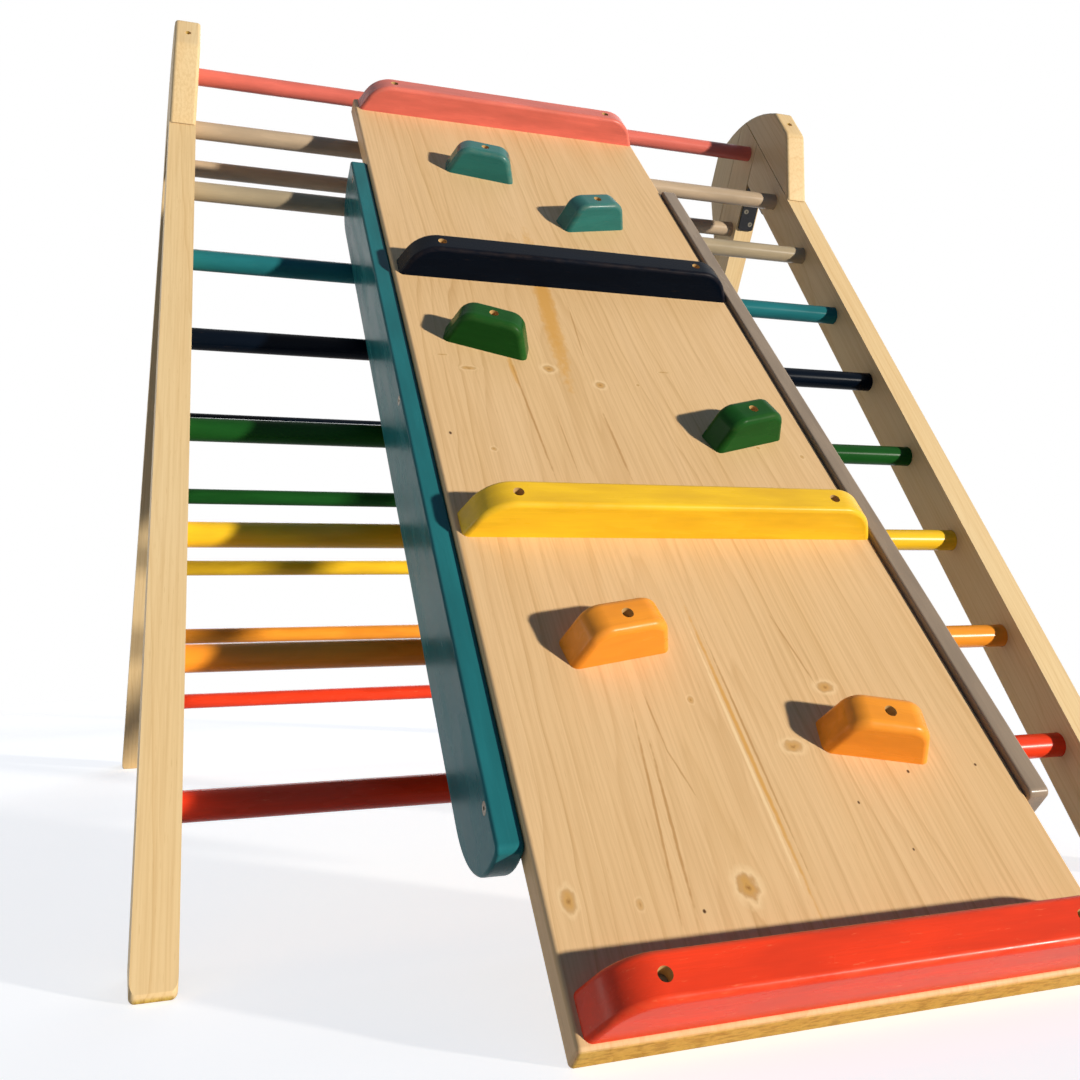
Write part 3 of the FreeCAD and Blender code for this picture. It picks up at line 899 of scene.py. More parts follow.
def plank_marks() -> tuple[Knot, ...]:
    """Knots, pin marks, grain lines and resin in the plank's face, as the photo shows them."""
    amber = linear(212, 158, 80)
    line = linear(176, 130, 72)
    pale = linear(242, 210, 160)
    low_knots = (
        Knot(129.1, 76.7, 7.0, 9.2, 0.90, 0.7),
        Knot(15.6, 80.3, 4.6, 8.0, 0.75, 0.5),
        Knot(57.5, 73.0, 2.4, 4.0, 0.45, 0.5),
        Knot(249.3, 218.5, 7.0, 5.0, 0.75, 0.7),
        Knot(201.7, 171.1, 8.0, 5.0, 0.70, 0.7),
        Knot(138.9, 212.7, 2.6, 3.4, 0.55, 0.5),
    )
    high_knots = (
        Knot(48.0, 583.0, 7.5, 3.0, 0.6, 0.5),
        Knot(126.0, 589.0, 6.0, 5.5, 0.75, 0.8),
        Knot(171.5, 568.3, 5.0, 5.0, 0.75, 0.8),
        Knot(210.8, 571.7, 2.0, 2.0, 0.6, 0.5),
        Knot(50.0, 472.0, 2.6, 2.6, 0.6, 0.8),
        Knot(244.4, 594.5, 6.0, 1.4, 0.6, 0.3),
        Knot(304.0, 486.3, 2.4, 2.4, 0.6, 0.6),
        Knot(345.8, 475.9, 2.4, 2.8, 0.6, 0.5),
        Knot(26.7, 601.0, 5.0, 1.2, 0.6, 0.3),
    )
    pin_marks = (
        pin_mark(95.8, 65.0, 1.1, 1.3, 1.0),
        pin_mark(231.3, 125.2, 1.0, 1.2, 0.95),
        pin_mark(281.2, 145.1, 1.1, 1.4, 1.0),
        pin_mark(254.7, 89.0, 0.9, 1.1, 0.9),
        pin_mark(338.9, 146.5, 1.1, 1.3, 0.95),
        pin_mark(15.9, 490.5, 1.4, 1.8, 1.0),
    )
    high_resin = (
        streak(amber, 149.5, 700.0, 9.6, 132.0, 0.78, 0.07),
        streak(amber, 90.3, 584.0, 2.6, 26.0, 0.60, -0.03),
    )
    high_lines = (
        streak(line, 93.3, 516.0, 1.2, 84.0, 0.56, -0.032),
        streak(line, 117.2, 481.0, 0.9, 42.0, 0.35, -0.010),
        streak(line, 163.3, 482.0, 1.4, 50.0, 0.52, -0.016),
        streak(line, 170.0, 655.0, 0.9, 46.0, 0.42, 0.069),
    )
    low_lines = (
        streak(line, 86.4, 134.0, 1.1, 78.0, 0.52, 0.10),
        streak(line, 93.8, 122.0, 1.2, 58.0, 0.56, 0.071),
        streak(line, 107.0, 196.0, 0.8, 28.0, 0.42, -0.06),
        streak(line, 112.3, 158.0, 0.8, 21.0, 0.42, -0.25),
    )
    low_resin = (
        streak(amber, 166.5, 172.0, 1.7, 118.0, 0.75, -0.020),
        streak(line, 171.2, 180.0, 1.0, 100.0, 0.49, -0.020),
        streak(pale, 162.6, 170.0, 1.3, 110.0, 0.70, -0.020),
    )
    edge_line = streak(line, 237.6, 254.0, 1.0, 34.0, 0.45, -0.153)
    return (*low_knots, *high_knots, *pin_marks, *high_resin, *high_lines, *low_lines, *low_resin, edge_line)


# Layout shared by the sub-assemblies


@dataclass(frozen=True)
class Layout:
    """Where the rung lines of both ladders run, in mm and radians."""

    apex_y: float
    apex_z: float
    spread: float = math.radians(34.0)
    first_drop: float = 117.5
    pitch: float = 119.994
    inner_x: float = 393.0
    outer_x: float = 422.0

    def down(self, side: Side) -> Vector:
        """Direction down a ladder, in (Y, Z)."""
        return Vector((side.value * math.sin(self.spread), -math.cos(self.spread)))

    def outward(self, side: Side) -> Vector:
        """Direction out of a ladder's face, in (Y, Z)."""
        return Vector((side.value * math.cos(self.spread), math.sin(self.spread)))

    def apex(self) -> Vector:
        """Centre of the top rung, in (Y, Z)."""
        return Vector((self.apex_y, self.apex_z))

    def rung(self, side: Side, number: int) -> Vector:
        """Centre of a rung counted down from the top, in (Y, Z)."""
        return self.apex() + self.down(side) * (self.first_drop + self.pitch * (number - 1))

    def limit(self, side: Side, offset: float) -> float:
        """Distance along the outward direction of the line at this offset from the rungs."""
        return self.apex().dot(self.outward(side)) + offset

    def on_line(self, side: Side, offset: float, height: float) -> tuple[float, float]:
        """Point of a line beside the rungs at a height."""
        rise = height - self.apex_z
        depth = (offset - rise * math.sin(self.spread)) / math.cos(self.spread)
        return (self.apex_y + side.value * depth, height)

    def at_depth(self, side: Side, offset: float, depth: float) -> float:
        """Height of a line beside the rungs at a Y."""
        aside = (depth - self.apex_y) * side.value
        return self.apex_z + (offset - aside * math.cos(self.spread)) / math.sin(self.spread)

    def meeting(self, front_offset: float, rear_offset: float) -> tuple[float, float]:
        """Point where a front line meets a rear line."""
        depth = (rear_offset - front_offset) / (2 * math.cos(self.spread))
        rise = (rear_offset + front_offset) / (2 * math.sin(self.spread))
        return (self.apex_y + depth, self.apex_z + rise)


def in_space(point: Vector, x: float) -> Vector:
    """Point in metres from (Y, Z) and X in mm."""
    return Vector((x, point.x, point.y)) * MM


def in_depth(direction: Vector) -> Vector:
    """Direction in space from a direction in (Y, Z)."""
    return Vector((0.0, direction.x, direction.y))


def set_material(piece: bpy.types.Object, material: bpy.types.Material) -> None:
    """Make this the only material of a piece."""
    piece.data.materials.clear()
    piece.data.materials.append(material)


class Assembly:
    """Base of the sub-assemblies: keeps their pieces and dresses them."""

    def __init__(self, layout: Layout) -> None:
        self.layout = layout
        self.sizes = self.Sizes()
        self.pieces: dict[str, bpy.types.Object] = {}
        self.tones: dict[str, PaintTone] = {}

    def add(
        self,
        node: str,
        shape: bmesh.types.BMesh,
        placing: Matrix,
        grain: GrainFrame,
        body: Body,
        bores: Sequence[Bore] = (),
    ) -> bpy.types.Object:
        """Place a shape made in mm, cut its bores and let it stand for a node.

        Args:
            node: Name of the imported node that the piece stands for.
            shape: Local mesh in mm.
            placing: Placement in metres.
            grain: Directions of the fibres.
            body: Moving body that carries the piece.
            bores: Holes in metres.

        Returns:
            The new object.
        """
        shape.transform(placing @ Matrix.Scale(MM, 4))
        piece = new_object(PIECE_PREFIX + node, shape)
        cut(piece, bores)
        smooth(piece)
        lay_grain(piece, grain)
        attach(piece, body.value)
        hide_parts(node)
        self.pieces[node] = piece
        return piece

    def dress(self, node: str, material: bpy.types.Material, slot: str) -> None:
        """Give a piece its finish."""
        piece = self.pieces[node]
        set_material(piece, material)

    def paint(self, palette: Palette) -> None:
        """Dress each piece that has a tone in its paint."""
        for node, tone in self.tones.items():
            self.dress(node, palette.paints[tone], tone.slot)

    def report(self) -> None:
        """Log the pieces with their face counts."""
        for node, piece in self.pieces.items():
            LOG.info("%s: %d faces", node, len(piece.data.polygons))


class SideFrames(Assembly):
    """Legs and heads, cut from one rounded outline on each side."""

    @dataclass(frozen=True)
    class Sizes:
        """Sizes in mm and degrees, with the piths' places in metres."""

        rail_width: float = 60.0
        rail_thickness: float = 29.0
        front_outer_offset: float = 27.5
        rear_outer_offset: float = 40.0
        head_half_width: float = 119.5
        head_toe_half_width: float = 113.5
        head_peak_rise: float = 68.3
        head_slope: float = 22.0
        facet_run: float = 29.5
        crown_radius: float = 195.0
        facet_top_radius: float = 10.0
        shoulder_radius: float = 16.0
        toe_radius: float = 10.0
        foot_radius: float = 6.0
        rim_radius: float = 4.0
        seam_ease: float = 0.6
        rung_radius: float = 11.0
        socket_depth: float = 15.0
        socket_ease: float = 0.2
        socket_lead: float = 1.0
        rungs: int = 8
        head_screw: ScrewSeat = ScrewSeat(3.4, 2.2, 22.0, 0.2, 24.0)
        pith_drift: float = 0.05
        pith_near: float = 0.03
        pith_far: float = 0.06

    def outline(self) -> list[Stop]:
        """Both legs and the head in one outline, in (Y, Z); keeps the middles of the head's facets."""
        lay = self.layout
        size = self.sizes
        front_inner = size.front_outer_offset - size.rail_width
        rear_inner = size.rear_outer_offset - size.rail_width
        crotch = lay.meeting(front_inner, rear_inner)
        front_face = crotch[0] - size.head_half_width
        rear_face = crotch[0] + size.head_half_width
        peak = lay.apex_z + size.head_peak_rise
        facet_top = peak - (size.head_half_width - size.facet_run) * math.tan(math.radians(size.head_slope))
        shoulder = facet_top - size.facet_run / math.tan(lay.spread)
        self.facet_middles = {
            Side.FRONT: Vector((front_face + size.facet_run / 2, (facet_top + shoulder) / 2)),
            Side.REAR: Vector((rear_face - size.facet_run / 2, (facet_top + shoulder) / 2)),
        }
        front_toe_y = crotch[0] - size.head_toe_half_width
        rear_toe_y = crotch[0] + size.head_toe_half_width
        front_toe = lay.at_depth(Side.FRONT, size.front_outer_offset, front_toe_y)
        rear_toe = lay.at_depth(Side.REAR, size.rear_outer_offset, rear_toe_y)
        return trace(
            (
                Corner(*lay.on_line(Side.FRONT, size.front_outer_offset, 0.0), size.foot_radius),
                Corner(front_toe_y, front_toe, size.toe_radius),
                Corner(front_face, shoulder, size.shoulder_radius),
                Corner(front_face + size.facet_run, facet_top, size.facet_top_radius),
                Corner(crotch[0], peak, size.crown_radius),
                Corner(rear_face - size.facet_run, facet_top, size.facet_top_radius),
                Corner(rear_face, shoulder, size.shoulder_radius),
                Corner(rear_toe_y, rear_toe, size.toe_radius),
                Corner(*lay.on_line(Side.REAR, size.rear_outer_offset, 0.0), size.foot_radius),
                Corner(*lay.on_line(Side.REAR, rear_inner, 0.0), size.foot_radius),
                Corner(*crotch),
                Corner(*lay.on_line(Side.FRONT, front_inner, 0.0), size.foot_radius),
            )
        )

    def parted(self) -> dict[str, list[Stop]]:
        """The outline parted at its three seams."""
        lay = self.layout
        size = self.sizes
        ease = size.seam_ease
        front = lay.outward(Side.FRONT)
        rear = lay.outward(Side.REAR)
        front_seam = lay.limit(Side.FRONT, size.front_outer_offset)
        inner_seam = lay.limit(Side.REAR, size.rear_outer_offset - size.rail_width)
        rear_seam = lay.limit(Side.REAR, size.rear_outer_offset)
        whole = self.outline()
        below = clip(whole, front, front_seam - ease)
        behind = clip(below, -rear, -inner_seam - ease)
        return {
            "front_head_block": clip(whole, -front, -front_seam - ease),
            "front_rail": clip(below, rear, inner_seam - ease),
            "rear_rail": clip(behind, rear, rear_seam - ease),
            "rear_head_block": clip(behind, -rear, -rear_seam - ease),
        }

    def rail_bores(self, side: Side, hand: Hand) -> list[Bore]:
        """Sockets for the rungs and countersinks for their screws."""
        lay = self.layout
        size = self.sizes
        radius = size.rung_radius + size.socket_ease
        socket = ((-size.socket_lead, radius), (size.socket_depth + size.socket_ease, radius))
        centres = [lay.rung(side, number) for number in range(1, size.rungs + 1)]
        if side is Side.REAR:
            centres.append(lay.apex())
        inward = Vector((-hand.value, 0.0, 0.0))
        bores = []
        for centre in centres:
            bores.append(Bore(in_space(centre, hand.value * lay.inner_x), -inward, socket))
            bores.append(ScrewSeat().bore(in_space(centre, hand.value * lay.outer_x), inward))
        return bores

    def build(self) -> None:
        """Build both side frames."""
        lay = self.layout
        size = self.sizes
        parts = self.parted()
        middle_x = lay.inner_x + size.rail_thickness / 2
        for hand in Hand:
            sign = hand.value
            placing = axes_matrix(Y_AXIS, Z_AXIS, X_AXIS * sign, X_AXIS * sign * lay.inner_x * MM)
            for name, outline in parts.items():
                side = Side.FRONT if name.startswith("front") else Side.REAR
                down = in_depth(lay.down(side))
                across = in_depth(lay.outward(side))
                origin = in_space(lay.apex(), sign * middle_x)
                if name.endswith("rail"):
                    bores = self.rail_bores(side, hand)
                else:
                    mouth = in_space(self.facet_middles[side], sign * middle_x)
                    bores = [size.head_screw.bore(mouth, -across)]
                length = random.uniform(0.0, GRAIN_LENGTH)
                drift = random.uniform(-size.pith_drift, size.pith_drift)
                aside = random.choice((-1, 1)) * random.uniform(size.pith_near, size.pith_far)
                grain = GrainFrame(origin, down, across, Vector((length, drift, aside)))
                node = f"{name}_{hand.name.lower()}"
                shape = plate(outline, size.rail_thickness, size.rim_radius)
                self.add(node, shape, placing, grain, side.body, bores)

    def finish(self, palette: Palette) -> None:
        """Dress the legs and heads in bare wood."""
        for node in self.pieces:
            self.dress(node, palette.rail_wood, "rail_wood")


class RungRows(Assembly):
    """Round painted rungs of both ladders and the one at the top."""

    @dataclass(frozen=True)
    class Sizes:
        """Sizes in mm."""

        radius: float = 11.0
        socket_depth: float = 15.0
        end_bevel: float = 1.0
        wobble: float = 0.06
        stations: int = 15
        segments: int = 48

    COLOURS = (
        PaintTone.TAUPE,
        PaintTone.STONE,
        PaintTone.TEAL,
        PaintTone.NAVY,
        PaintTone.GREEN,
        PaintTone.YELLOW,
        PaintTone.ORANGE,
        PaintTone.RED,
    )

    def build_rung(self, node: str, centre: Vector, body: Body, tone: PaintTone) -> None:
        """Turn one rung, its ends let into the legs."""
        size = self.sizes
        length = 2 * (self.layout.inner_x + size.socket_depth)
        profile = [(0.0, size.radius - size.end_bevel), (size.end_bevel, size.radius - size.wobble)]
        for station in range(1, size.stations):
            radius = size.radius - random.uniform(0.0, size.wobble)
            profile.append((length * station / size.stations, radius))
        profile.append((length - size.end_bevel, size.radius - size.wobble))
        profile.append((length, size.radius - size.end_bevel))
        start = in_space(centre, -length / 2)
        placing = axes_matrix(Y_AXIS, Z_AXIS, X_AXIS, start)
        pith = Vector((random.uniform(0.0, GRAIN_LENGTH), random.uniform(0.0, 1.0), random.uniform(0.0, 1.0)))
        grain = GrainFrame(start, X_AXIS, Y_AXIS, pith)
        self.add(node, lathe(profile, size.segments), placing, grain, body)
        self.tones[node] = tone

    def build(self) -> None:
        """Build the seventeen rungs."""
        self.build_rung("top_rung", self.layout.apex(), Body.REAR, PaintTone.CORAL)
        for side in Side:
            for number, tone in enumerate(self.COLOURS, start=1):
                node = f"{side.name.lower()}_rung_{number}"
                self.build_rung(node, self.layout.rung(side, number), side.body, tone)

    def finish(self, palette: Palette) -> None:
        """Dress each rung in its own colour."""
        self.paint(palette)


@dataclass(frozen=True)
class BarEnds:
    """Sizes in mm of a bar's ends and ridge: run of the slope, rounding of the shoulder and of the ridge."""

    slope: float
    shoulder: float
    ridge: float


class RampPanel(Assembly):
    """Plank with its side rails, battens, holds and hook blocks."""

    @dataclass(frozen=True)
    class Sizes:
        """Sizes in mm and degrees, with the piths' places in metres."""

        lean: float = 41.88
        left_edge: float = -210.5
        rung_clearance: float = 56.0
        width: float = 366.0
        length: float = 1132.04
        thickness: float = 20.0
        edge_round: float = 3.0
        edge_arc: float = 15.0
        side_thickness: float = 18.0
        side_bottom: float = -76.0
        side_low: float = 117.0
        side_high: float = 974.04
        side_low_round: float = 60.0
        side_high_round: float = 44.0
        side_lip_round: float = 5.0
        side_rim: float = 2.5
        left_top: float = -5.0
        right_top: float = 5.0
        side_screw_depth: float = 12.0
        side_screw_inset: float = 33.0
        side_screws: int = 3
        bar_width: float = 28.5
        bar_height: float = 34.0
        bar_arc: float = 5.0
        bar_steps: int = 7
        batten_left_margin: float = 5.0
        batten_right_margin: float = 1.0
        batten_ends: BarEnds = BarEnds(16.0, 34.0, 4.5)
        batten_screw_inset: float = 44.0
        batten_sink: float = 8.0
        hold_length: float = 80.0
        hold_ends: BarEnds = BarEnds(12.5, 17.0, 6.0)
        hold_sink: float = 8.0
        hook_rung: int = 2
        hook_inset: float = 40.0
        hook_thickness: float = 20.0
        hook_slot: float = 11.3
        hook_prong: float = 14.0
        hook_drop: float = 22.0
        hook_reach: float = 62.0
        hook_round: float = 5.0
        hook_rim: float = 1.2
        hook_steps: int = 3
        side_pith: float = 0.06
        hook_pith: float = 0.05
        bar_pith: float = 1.0

    BATTENS = {
        "batten_red": (0.0027, PaintTone.RED),
        "batten_yellow": (0.3344, PaintTone.YELLOW),
        "batten_navy": (0.6624, PaintTone.NAVY),
        "batten_coral": (0.9982, PaintTone.CORAL),
    }
    HOLDS = {
        "hold_teal_left": (0.3516, 0.8448, -10.2, PaintTone.MOSS),
        "hold_teal_right": (0.6776, 0.7598, 14.8, PaintTone.MOSS),
        "hold_green_left": (0.1861, 0.5394, -18.6, PaintTone.GREEN),
        "hold_green_right": (0.8112, 0.4305, 17.4, PaintTone.GREEN),
        "hold_orange_left": (0.2705, 0.2192, 9.6, PaintTone.ORANGE),
        "hold_orange_right": (0.7148, 0.1382, -11.5, PaintTone.ORANGE),
    }

    def __init__(self, layout: Layout) -> None:
        super().__init__(layout)
        self.place_panel()

    def place_panel(self) -> None:
        """Find the panel's axes: across, up the slope and off its face."""
        size = self.sizes
        lean = math.radians(size.lean)
        low_point = (size.thickness - size.edge_round) * math.sin(lean) + size.edge_round
        origin_z = low_point - size.edge_round * math.cos(lean)
        first = self.layout.rung(Side.FRONT, 1)
        origin_y = first.x - ((first.y - origin_z) * math.sin(lean) + size.rung_clearance) / math.cos(lean)
        self.across = Vector((1.0, 0.0, 0.0))
        self.up = Vector((0.0, math.sin(lean), math.cos(lean)))
        self.off = Vector((0.0, -math.cos(lean), math.sin(lean)))
        self.origin = Vector((size.left_edge, origin_y, origin_z)) * MM

    def spot(self, across: float, up: float, off: float) -> Vector:
        """Point in metres from the panel's own coordinates in mm."""
        return self.origin + (self.across * across + self.up * up + self.off * off) * MM

    def grain_along(self, along: Vector, spread: float) -> GrainFrame:
        """Fibres along a direction, with a pith somewhere near."""
        across = self.off.cross(along).normalized()
        length = random.uniform(0.0, GRAIN_LENGTH)
        pith = Vector((length, random.uniform(-spread, spread), random.uniform(-spread, spread)))
        return GrainFrame(self.origin, along, across, pith)

    def build_plank(self) -> None:
        """Build the plank."""
        size = self.sizes
        outline = trace(
            (
                Corner(0.0, 0.0, size.edge_round),
                Corner(size.width, 0.0, size.edge_round),
                Corner(size.width, size.length, size.edge_round),
                Corner(0.0, size.length, size.edge_round),
            ),
            math.radians(size.edge_arc),
        )
        shape = plate(outline, size.thickness, size.edge_round)
        placing = axes_matrix(self.across, self.up, self.off, self.spot(0.0, 0.0, -size.thickness))
        self.add("ramp_plank", shape, placing, GrainFrame(self.origin, self.up, self.across), Body.RAMP)

    def build_side_rails(self) -> None:
        """Build the painted rails at the plank's edges."""
        size = self.sizes
        rails = (
            ("ramp_side_rail_left", -size.side_thickness, size.left_top, 1.0, PaintTone.TEAL),
            ("ramp_side_rail_right", size.width, size.right_top, -1.0, PaintTone.GREY),
        )
        step = (size.side_high - size.side_low - 2 * size.side_screw_inset) / (size.side_screws - 1)
        for node, start, top, inward, tone in rails:
            outline = trace(
                (
                    Corner(size.side_low, top, size.side_lip_round),
                    Corner(size.side_high, top, size.side_lip_round),
                    Corner(size.side_high, size.side_bottom, size.side_high_round),
                    Corner(size.side_low, size.side_bottom, size.side_low_round),
                )
            )
            shape = plate(outline, size.side_thickness, size.side_rim)
            placing = axes_matrix(self.up, self.off, self.across, self.spot(start, 0.0, 0.0))
            outer = start if inward > 0 else start + size.side_thickness
            bores = []
            for number in range(size.side_screws):
                up = size.side_low + size.side_screw_inset + step * number
                mouth = self.spot(outer, up, -size.side_screw_depth)
                bores.append(ScrewSeat().bore(mouth, self.across * inward))
            self.add(node, shape, placing, self.grain_along(self.up, size.side_pith), Body.RAMP, bores)
            self.tones[node] = tone

    def bar(self, length: float, ends: BarEnds) -> bmesh.types.BMesh:
        """Bar with curved ends: local X along it, Y off the plank, Z across its width."""
        half = length / 2
        height = self.sizes.bar_height
        outline = trace(
            (
                Corner(-half, 0.0, 0.0, 0.0),
                Corner(half, 0.0),
                Corner(half - ends.slope, height, ends.shoulder),
                Corner(ends.slope - half, height, ends.shoulder),
            ),
            math.radians(self.sizes.bar_arc),
        )
        return plate(outline, self.sizes.bar_width, ends.ridge, self.sizes.bar_steps)

    def build_battens(self) -> None:
        """Build the four full-width battens."""
        size = self.sizes
        length = size.width - size.batten_left_margin - size.batten_right_margin
        middle = size.batten_left_margin + length / 2
        seat = ScrewSeat(sink=size.batten_sink)
        for node, (share, tone) in self.BATTENS.items():
            low = (size.length - size.bar_width) * share
            shape = self.bar(length, size.batten_ends)
            corner = self.spot(middle, low + size.bar_width, 0.0)
            placing = axes_matrix(self.across, self.off, -self.up, corner)
            bores = []
            for x in (size.batten_screw_inset, size.width - size.batten_screw_inset):
                mouth = self.spot(x, low + size.bar_width / 2, size.bar_height)
                bores.append(seat.bore(mouth, -self.off))
            self.add(node, shape, placing, self.grain_along(self.across, size.bar_pith), Body.RAMP, bores)
            self.tones[node] = tone

    def build_holds(self) -> None:
        """Build the six short holds."""
        size = self.sizes
        seat = ScrewSeat(sink=size.hold_sink)
        for node, (across, up, turn, tone) in self.HOLDS.items():
            angle = math.radians(turn)
            run = self.across * math.cos(angle) + self.up * math.sin(angle)
            rise = self.up * math.cos(angle) - self.across * math.sin(angle)
            corner = self.spot(size.width * across, size.length * up, 0.0)
            shape = self.bar(size.hold_length, size.hold_ends)
            placing = axes_matrix(run, self.off, -rise, corner + rise * size.bar_width * MM)
            mouth = corner + rise * (size.bar_width / 2 * MM) + self.off * (size.bar_height * MM)
            bores = [seat.bore(mouth, -self.off)]
            self.add(node, shape, placing, self.grain_along(run, size.bar_pith), Body.RAMP, bores)
            self.tones[node] = tone

    def build_hooks(self) -> None:
        """Build the two plates under the plank that hang over the second rung."""
        size = self.sizes
        lean = math.radians(size.lean)
        rung = self.layout.rung(Side.FRONT, size.hook_rung)
        place = Vector((0.0, rung.x, rung.y)) * MM - self.origin
        centre = Vector((place.dot(self.up), place.dot(self.off))) / MM
        back = Vector((math.sin(lean), -math.cos(lean)))
        rise = Vector((math.cos(lean), math.sin(lean)))

        def corner(side_step: float, up_step: float, radius: float) -> Corner:
            """Corner placed from the rung's centre."""
            point = centre + back * side_step + rise * up_step
            return Corner(point.x, point.y, radius)

        slot = size.hook_slot
        tail = slot + size.hook_prong
        front = corner(-size.hook_reach, -size.hook_drop, size.hook_round)
        to_plank = (-size.thickness - centre.y - tail * back.y) / rise.y
        outline = trace(
            (
                Corner(front.a, -size.thickness, 0.0, 0.0),
                front,
                corner(-slot, -size.hook_drop, size.hook_round),
                corner(-slot, slot, slot),
                corner(slot, slot, slot),
                corner(slot, -size.hook_drop, size.hook_round),
                corner(tail, -size.hook_drop, size.hook_round),
                corner(tail, to_plank, 0.0),
            )
        )
        starts = {
            "hook_block_left": size.hook_inset,
            "hook_block_right": size.width - size.hook_inset - size.hook_thickness,
        }
        for node, start in starts.items():
            shape = plate(outline, size.hook_thickness, size.hook_rim, size.hook_steps)
            placing = axes_matrix(self.up, self.off, self.across, self.spot(start, 0.0, 0.0))
            self.add(node, shape, placing, self.grain_along(self.up, size.hook_pith), Body.RAMP)

    def build(self) -> None:
        """Build the panel."""
        self.build_plank()
        self.build_side_rails()
        self.build_battens()
        self.build_holds()
        self.build_hooks()

    def finish(self, palette: Palette) -> None:
        """Dress the plank in its own wood and the rest in paint."""
        self.dress("ramp_plank", palette.plank_wood, "plank_wood")
        for node in ("hook_block_left", "hook_block_right"):
            self.dress(node, palette.rail_wood, "rail_wood")
        self.paint(palette)


@dataclass(frozen=True)
class Ironware:
    """Hinges and screws carried over from the frame."""

    hinge_prefix: str = "hinge_"
    screw_suffix: str = "_screws"

    def finish(self, palette: Palette) -> None:
        """Dress the carried nodes in steel."""
        for node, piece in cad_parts.items():
            if node.startswith(self.hinge_prefix):
                material = palette.black_steel
            elif node.endswith(self.screw_suffix):
                material = palette.screw_steel
            else:
                continue
            set_material(piece, material)
            LOG.info("%s: dressed as %s", node, material.name)


@dataclass(frozen=True)
class Lamp:
    """Square lamp: its place, size, power and colour."""

    name: str
    place: Triple
    size: float
    power: float
    colour: Triple


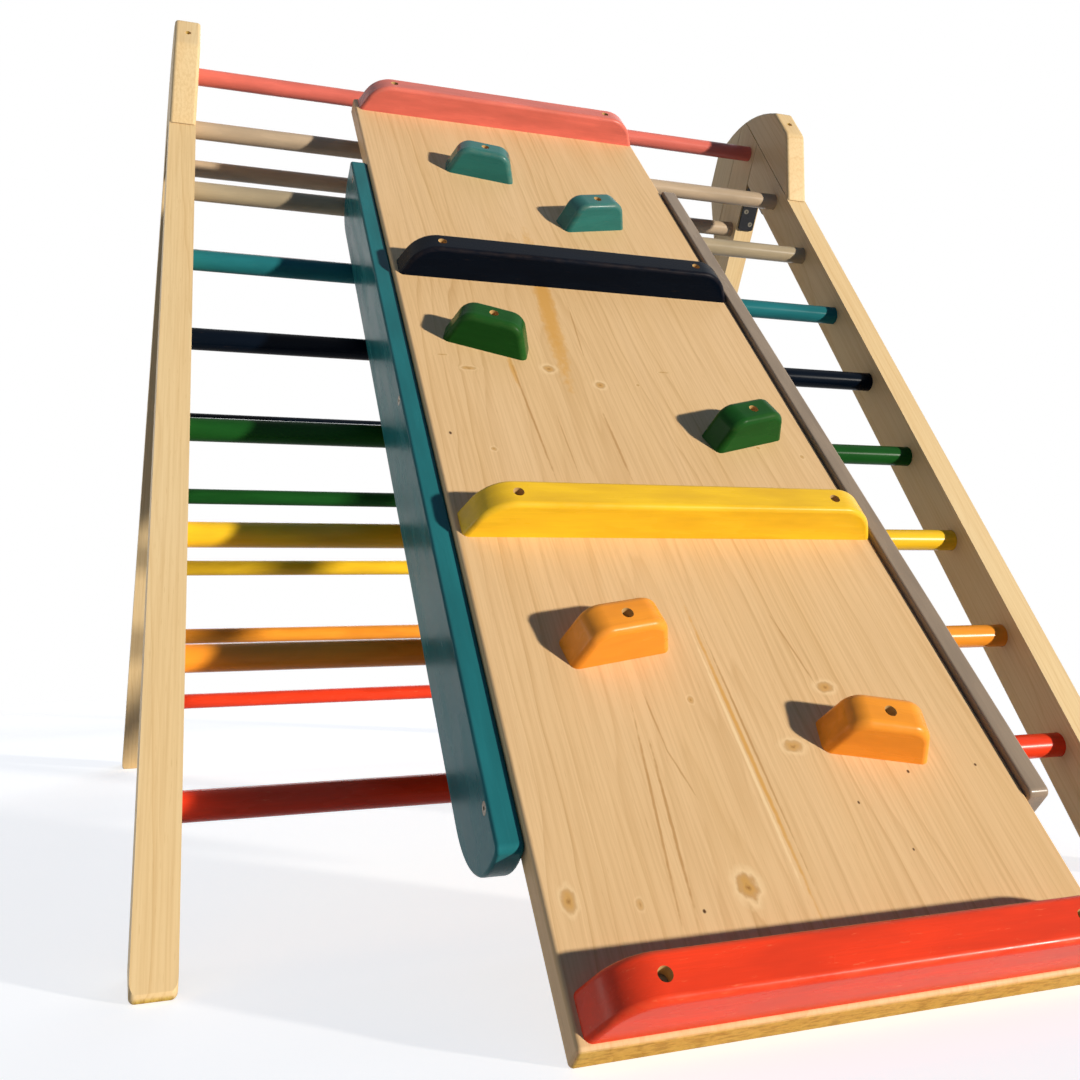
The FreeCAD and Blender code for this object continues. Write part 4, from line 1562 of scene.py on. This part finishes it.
@dataclass(frozen=True)
class Studio:
    """Pale floor that fades into a white surround, with its lamps."""

    floor_radius: float = 9.0
    floor_segments: int = 96
    fade_start: float = 0.9
    fade_end: float = 2.6
    floor_colour: Colour = (0.70, 0.70, 0.70, 1.0)
    floor_speckle: Mottle = Mottle((3.0, 3.0, 3.0), 3.0)
    floor_dimming: float = 0.985
    floor_roughness: float = 0.9
    floor_gloss: float = 0.1
    floor_glow: float = 0.72
    surround_colour: Colour = (1.0, 1.0, 1.0, 1.0)
    ambient: float = 0.16
    ambient_colour: Colour = (0.24, 0.50, 1.0, 1.0)
    aim: Triple = (0.0, 0.0, 0.45)
    lamps: tuple[Lamp, ...] = (
        Lamp("key_lamp", (15.9, -19.1, 2.7), 1.0, 9000.0, (1.0, 0.94, 0.85)),
        Lamp("rear_lamp", (0.9, 3.6, 2.3), 2.2, 38.0, (0.96, 0.98, 1.0)),
        Lamp("side_lamp", (-5.0, 0.3, 0.7), 2.0, 46.0, (1.0, 0.93, 0.82)),
    )

    def floor_material(self) -> bpy.types.Material:
        """Matt paper that fades out away from the object and glows for the camera and in mirrors."""
        sketch = Sketch("floor_paper")
        place = sketch.place()
        speckle = place.noise(self.floor_speckle)
        glow = background_rays(sketch.tree) * self.floor_glow
        sketch.shade({
            "Base Color": speckle.blend(self.floor_colour, toned(self.floor_colour, self.floor_dimming)),
            "Roughness": self.floor_roughness,
            "Specular IOR Level": self.floor_gloss,
            "Emission Color": self.surround_colour,
            "Emission Strength": glow,
        })
        reach = {"Value": place.length(), "From Min": self.fade_start, "From Max": self.fade_end}
        fade = add_node(sketch.tree, "MapRange", reach, interpolation_type="SMOOTHSTEP")
        clear = add_node(sketch.tree, "BsdfTransparent")
        blend = add_node(sketch.tree, "MixShader", {0: fade, 1: sketch.shader, 2: clear})
        feed(sketch.tree, sketch.output.inputs["Surface"], blend)
        return sketch.material

    def build_floor(self) -> None:
        """Round floor on the ground, a fan of triangles, on which the sampling of its glow depends."""
        shape = bmesh.new()
        centre = shape.verts.new((0.0, 0.0, 0.0))
        rim = [shape.verts.new((*point, 0.0)) for point in circle(self.floor_radius, self.floor_segments)]
        for vertex, after in zip(rim, rim[1:] + rim[:1]):
            shape.faces.new((centre, vertex, after))
        floor = new_object("studio_floor", shape)
        floor.data.materials.append(self.floor_material())

    def build_world(self) -> None:
        """White surround for the camera and mirrors, an even bluish light for the rest."""
        world = bpy.data.worlds.new("studio_world")
        world.use_nodes = True
        tree = world.node_tree
        tree.nodes.clear()
        lit = add_node(tree, "Background", {"Color": self.ambient_colour, "Strength": self.ambient})
        seen = add_node(tree, "Background", {"Color": self.surround_colour, "Strength": 1.0})
        blend = add_node(tree, "MixShader", {0: background_rays(tree), 1: lit, 2: seen})
        add_node(tree, "OutputWorld", {"Surface": blend})
        bpy.context.scene.world = world

    def build_lamps(self) -> None:
        """Hang the lamps and aim them at the object."""
        for lamp in self.lamps:
            light = bpy.data.lights.new(lamp.name, "AREA")
            light.shape = "SQUARE"
            light.size = lamp.size
            light.energy = lamp.power
            light.color = lamp.colour
            holder = bpy.data.objects.new(lamp.name, light)
            holder.location = lamp.place
            aim = Vector(self.aim) - Vector(lamp.place)
            holder.rotation_euler = aim.to_track_quat("-Z", "Y").to_euler()
            bpy.context.scene.collection.objects.link(holder)
            LOG.info("%s: %.0f W", lamp.name, lamp.power)

    def build(self) -> None:
        """Build the studio."""
        self.build_floor()
        self.build_world()
        self.build_lamps()
        bpy.context.scene.view_settings.view_transform = "Standard"


@dataclass(frozen=True)
class PhotoCamera:
    """Camera fitted to the photo: its lens, its place from the top rung's centre and its turn in degrees."""

    focal_pixels: float = 1180.834
    frame_pixels: float = 1080.0
    principal: tuple[float, float] = (592.114, 359.865)
    sensor: float = 36.0
    clip_start: float = 0.01
    offset: Triple = (-0.441584, -1.463170, -0.659719)
    turn: Triple = (101.8124, 0.8505, -21.4064)

    def build(self, layout: Layout) -> None:
        """Set the camera up and make it the scene's own."""
        camera = bpy.data.cameras.new("photo_camera")
        camera.sensor_width = self.sensor
        camera.lens = self.focal_pixels / self.frame_pixels * self.sensor
        middle = self.frame_pixels / 2
        camera.shift_x = (middle - self.principal[0]) / self.frame_pixels
        camera.shift_y = (self.principal[1] - middle) / self.frame_pixels
        camera.clip_start = self.clip_start
        holder = bpy.data.objects.new("photo_camera", camera)
        holder.location = in_space(layout.apex(), 0.0) + Vector(self.offset)
        holder.rotation_euler = [math.radians(angle) for angle in self.turn]
        bpy.context.scene.collection.objects.link(holder)
        bpy.context.scene.camera = holder


def main() -> None:
    """Build the object, its studio and its camera."""
    logging.basicConfig(level=logging.INFO, format="%(name)s: %(message)s")
    random.seed(SEED)
    low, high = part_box("top_rung")
    middle = (low + high) / 2 / MM
    layout = Layout(middle.y, middle.z)
    palette = Palette()
    for assembly in (SideFrames(layout), RungRows(layout), RampPanel(layout)):
        assembly.build()
        assembly.finish(palette)
        assembly.report()
    Ironware().finish(palette)
    Studio().build()
    PhotoCamera().build(layout)


if __name__ == "__main__":
    main()
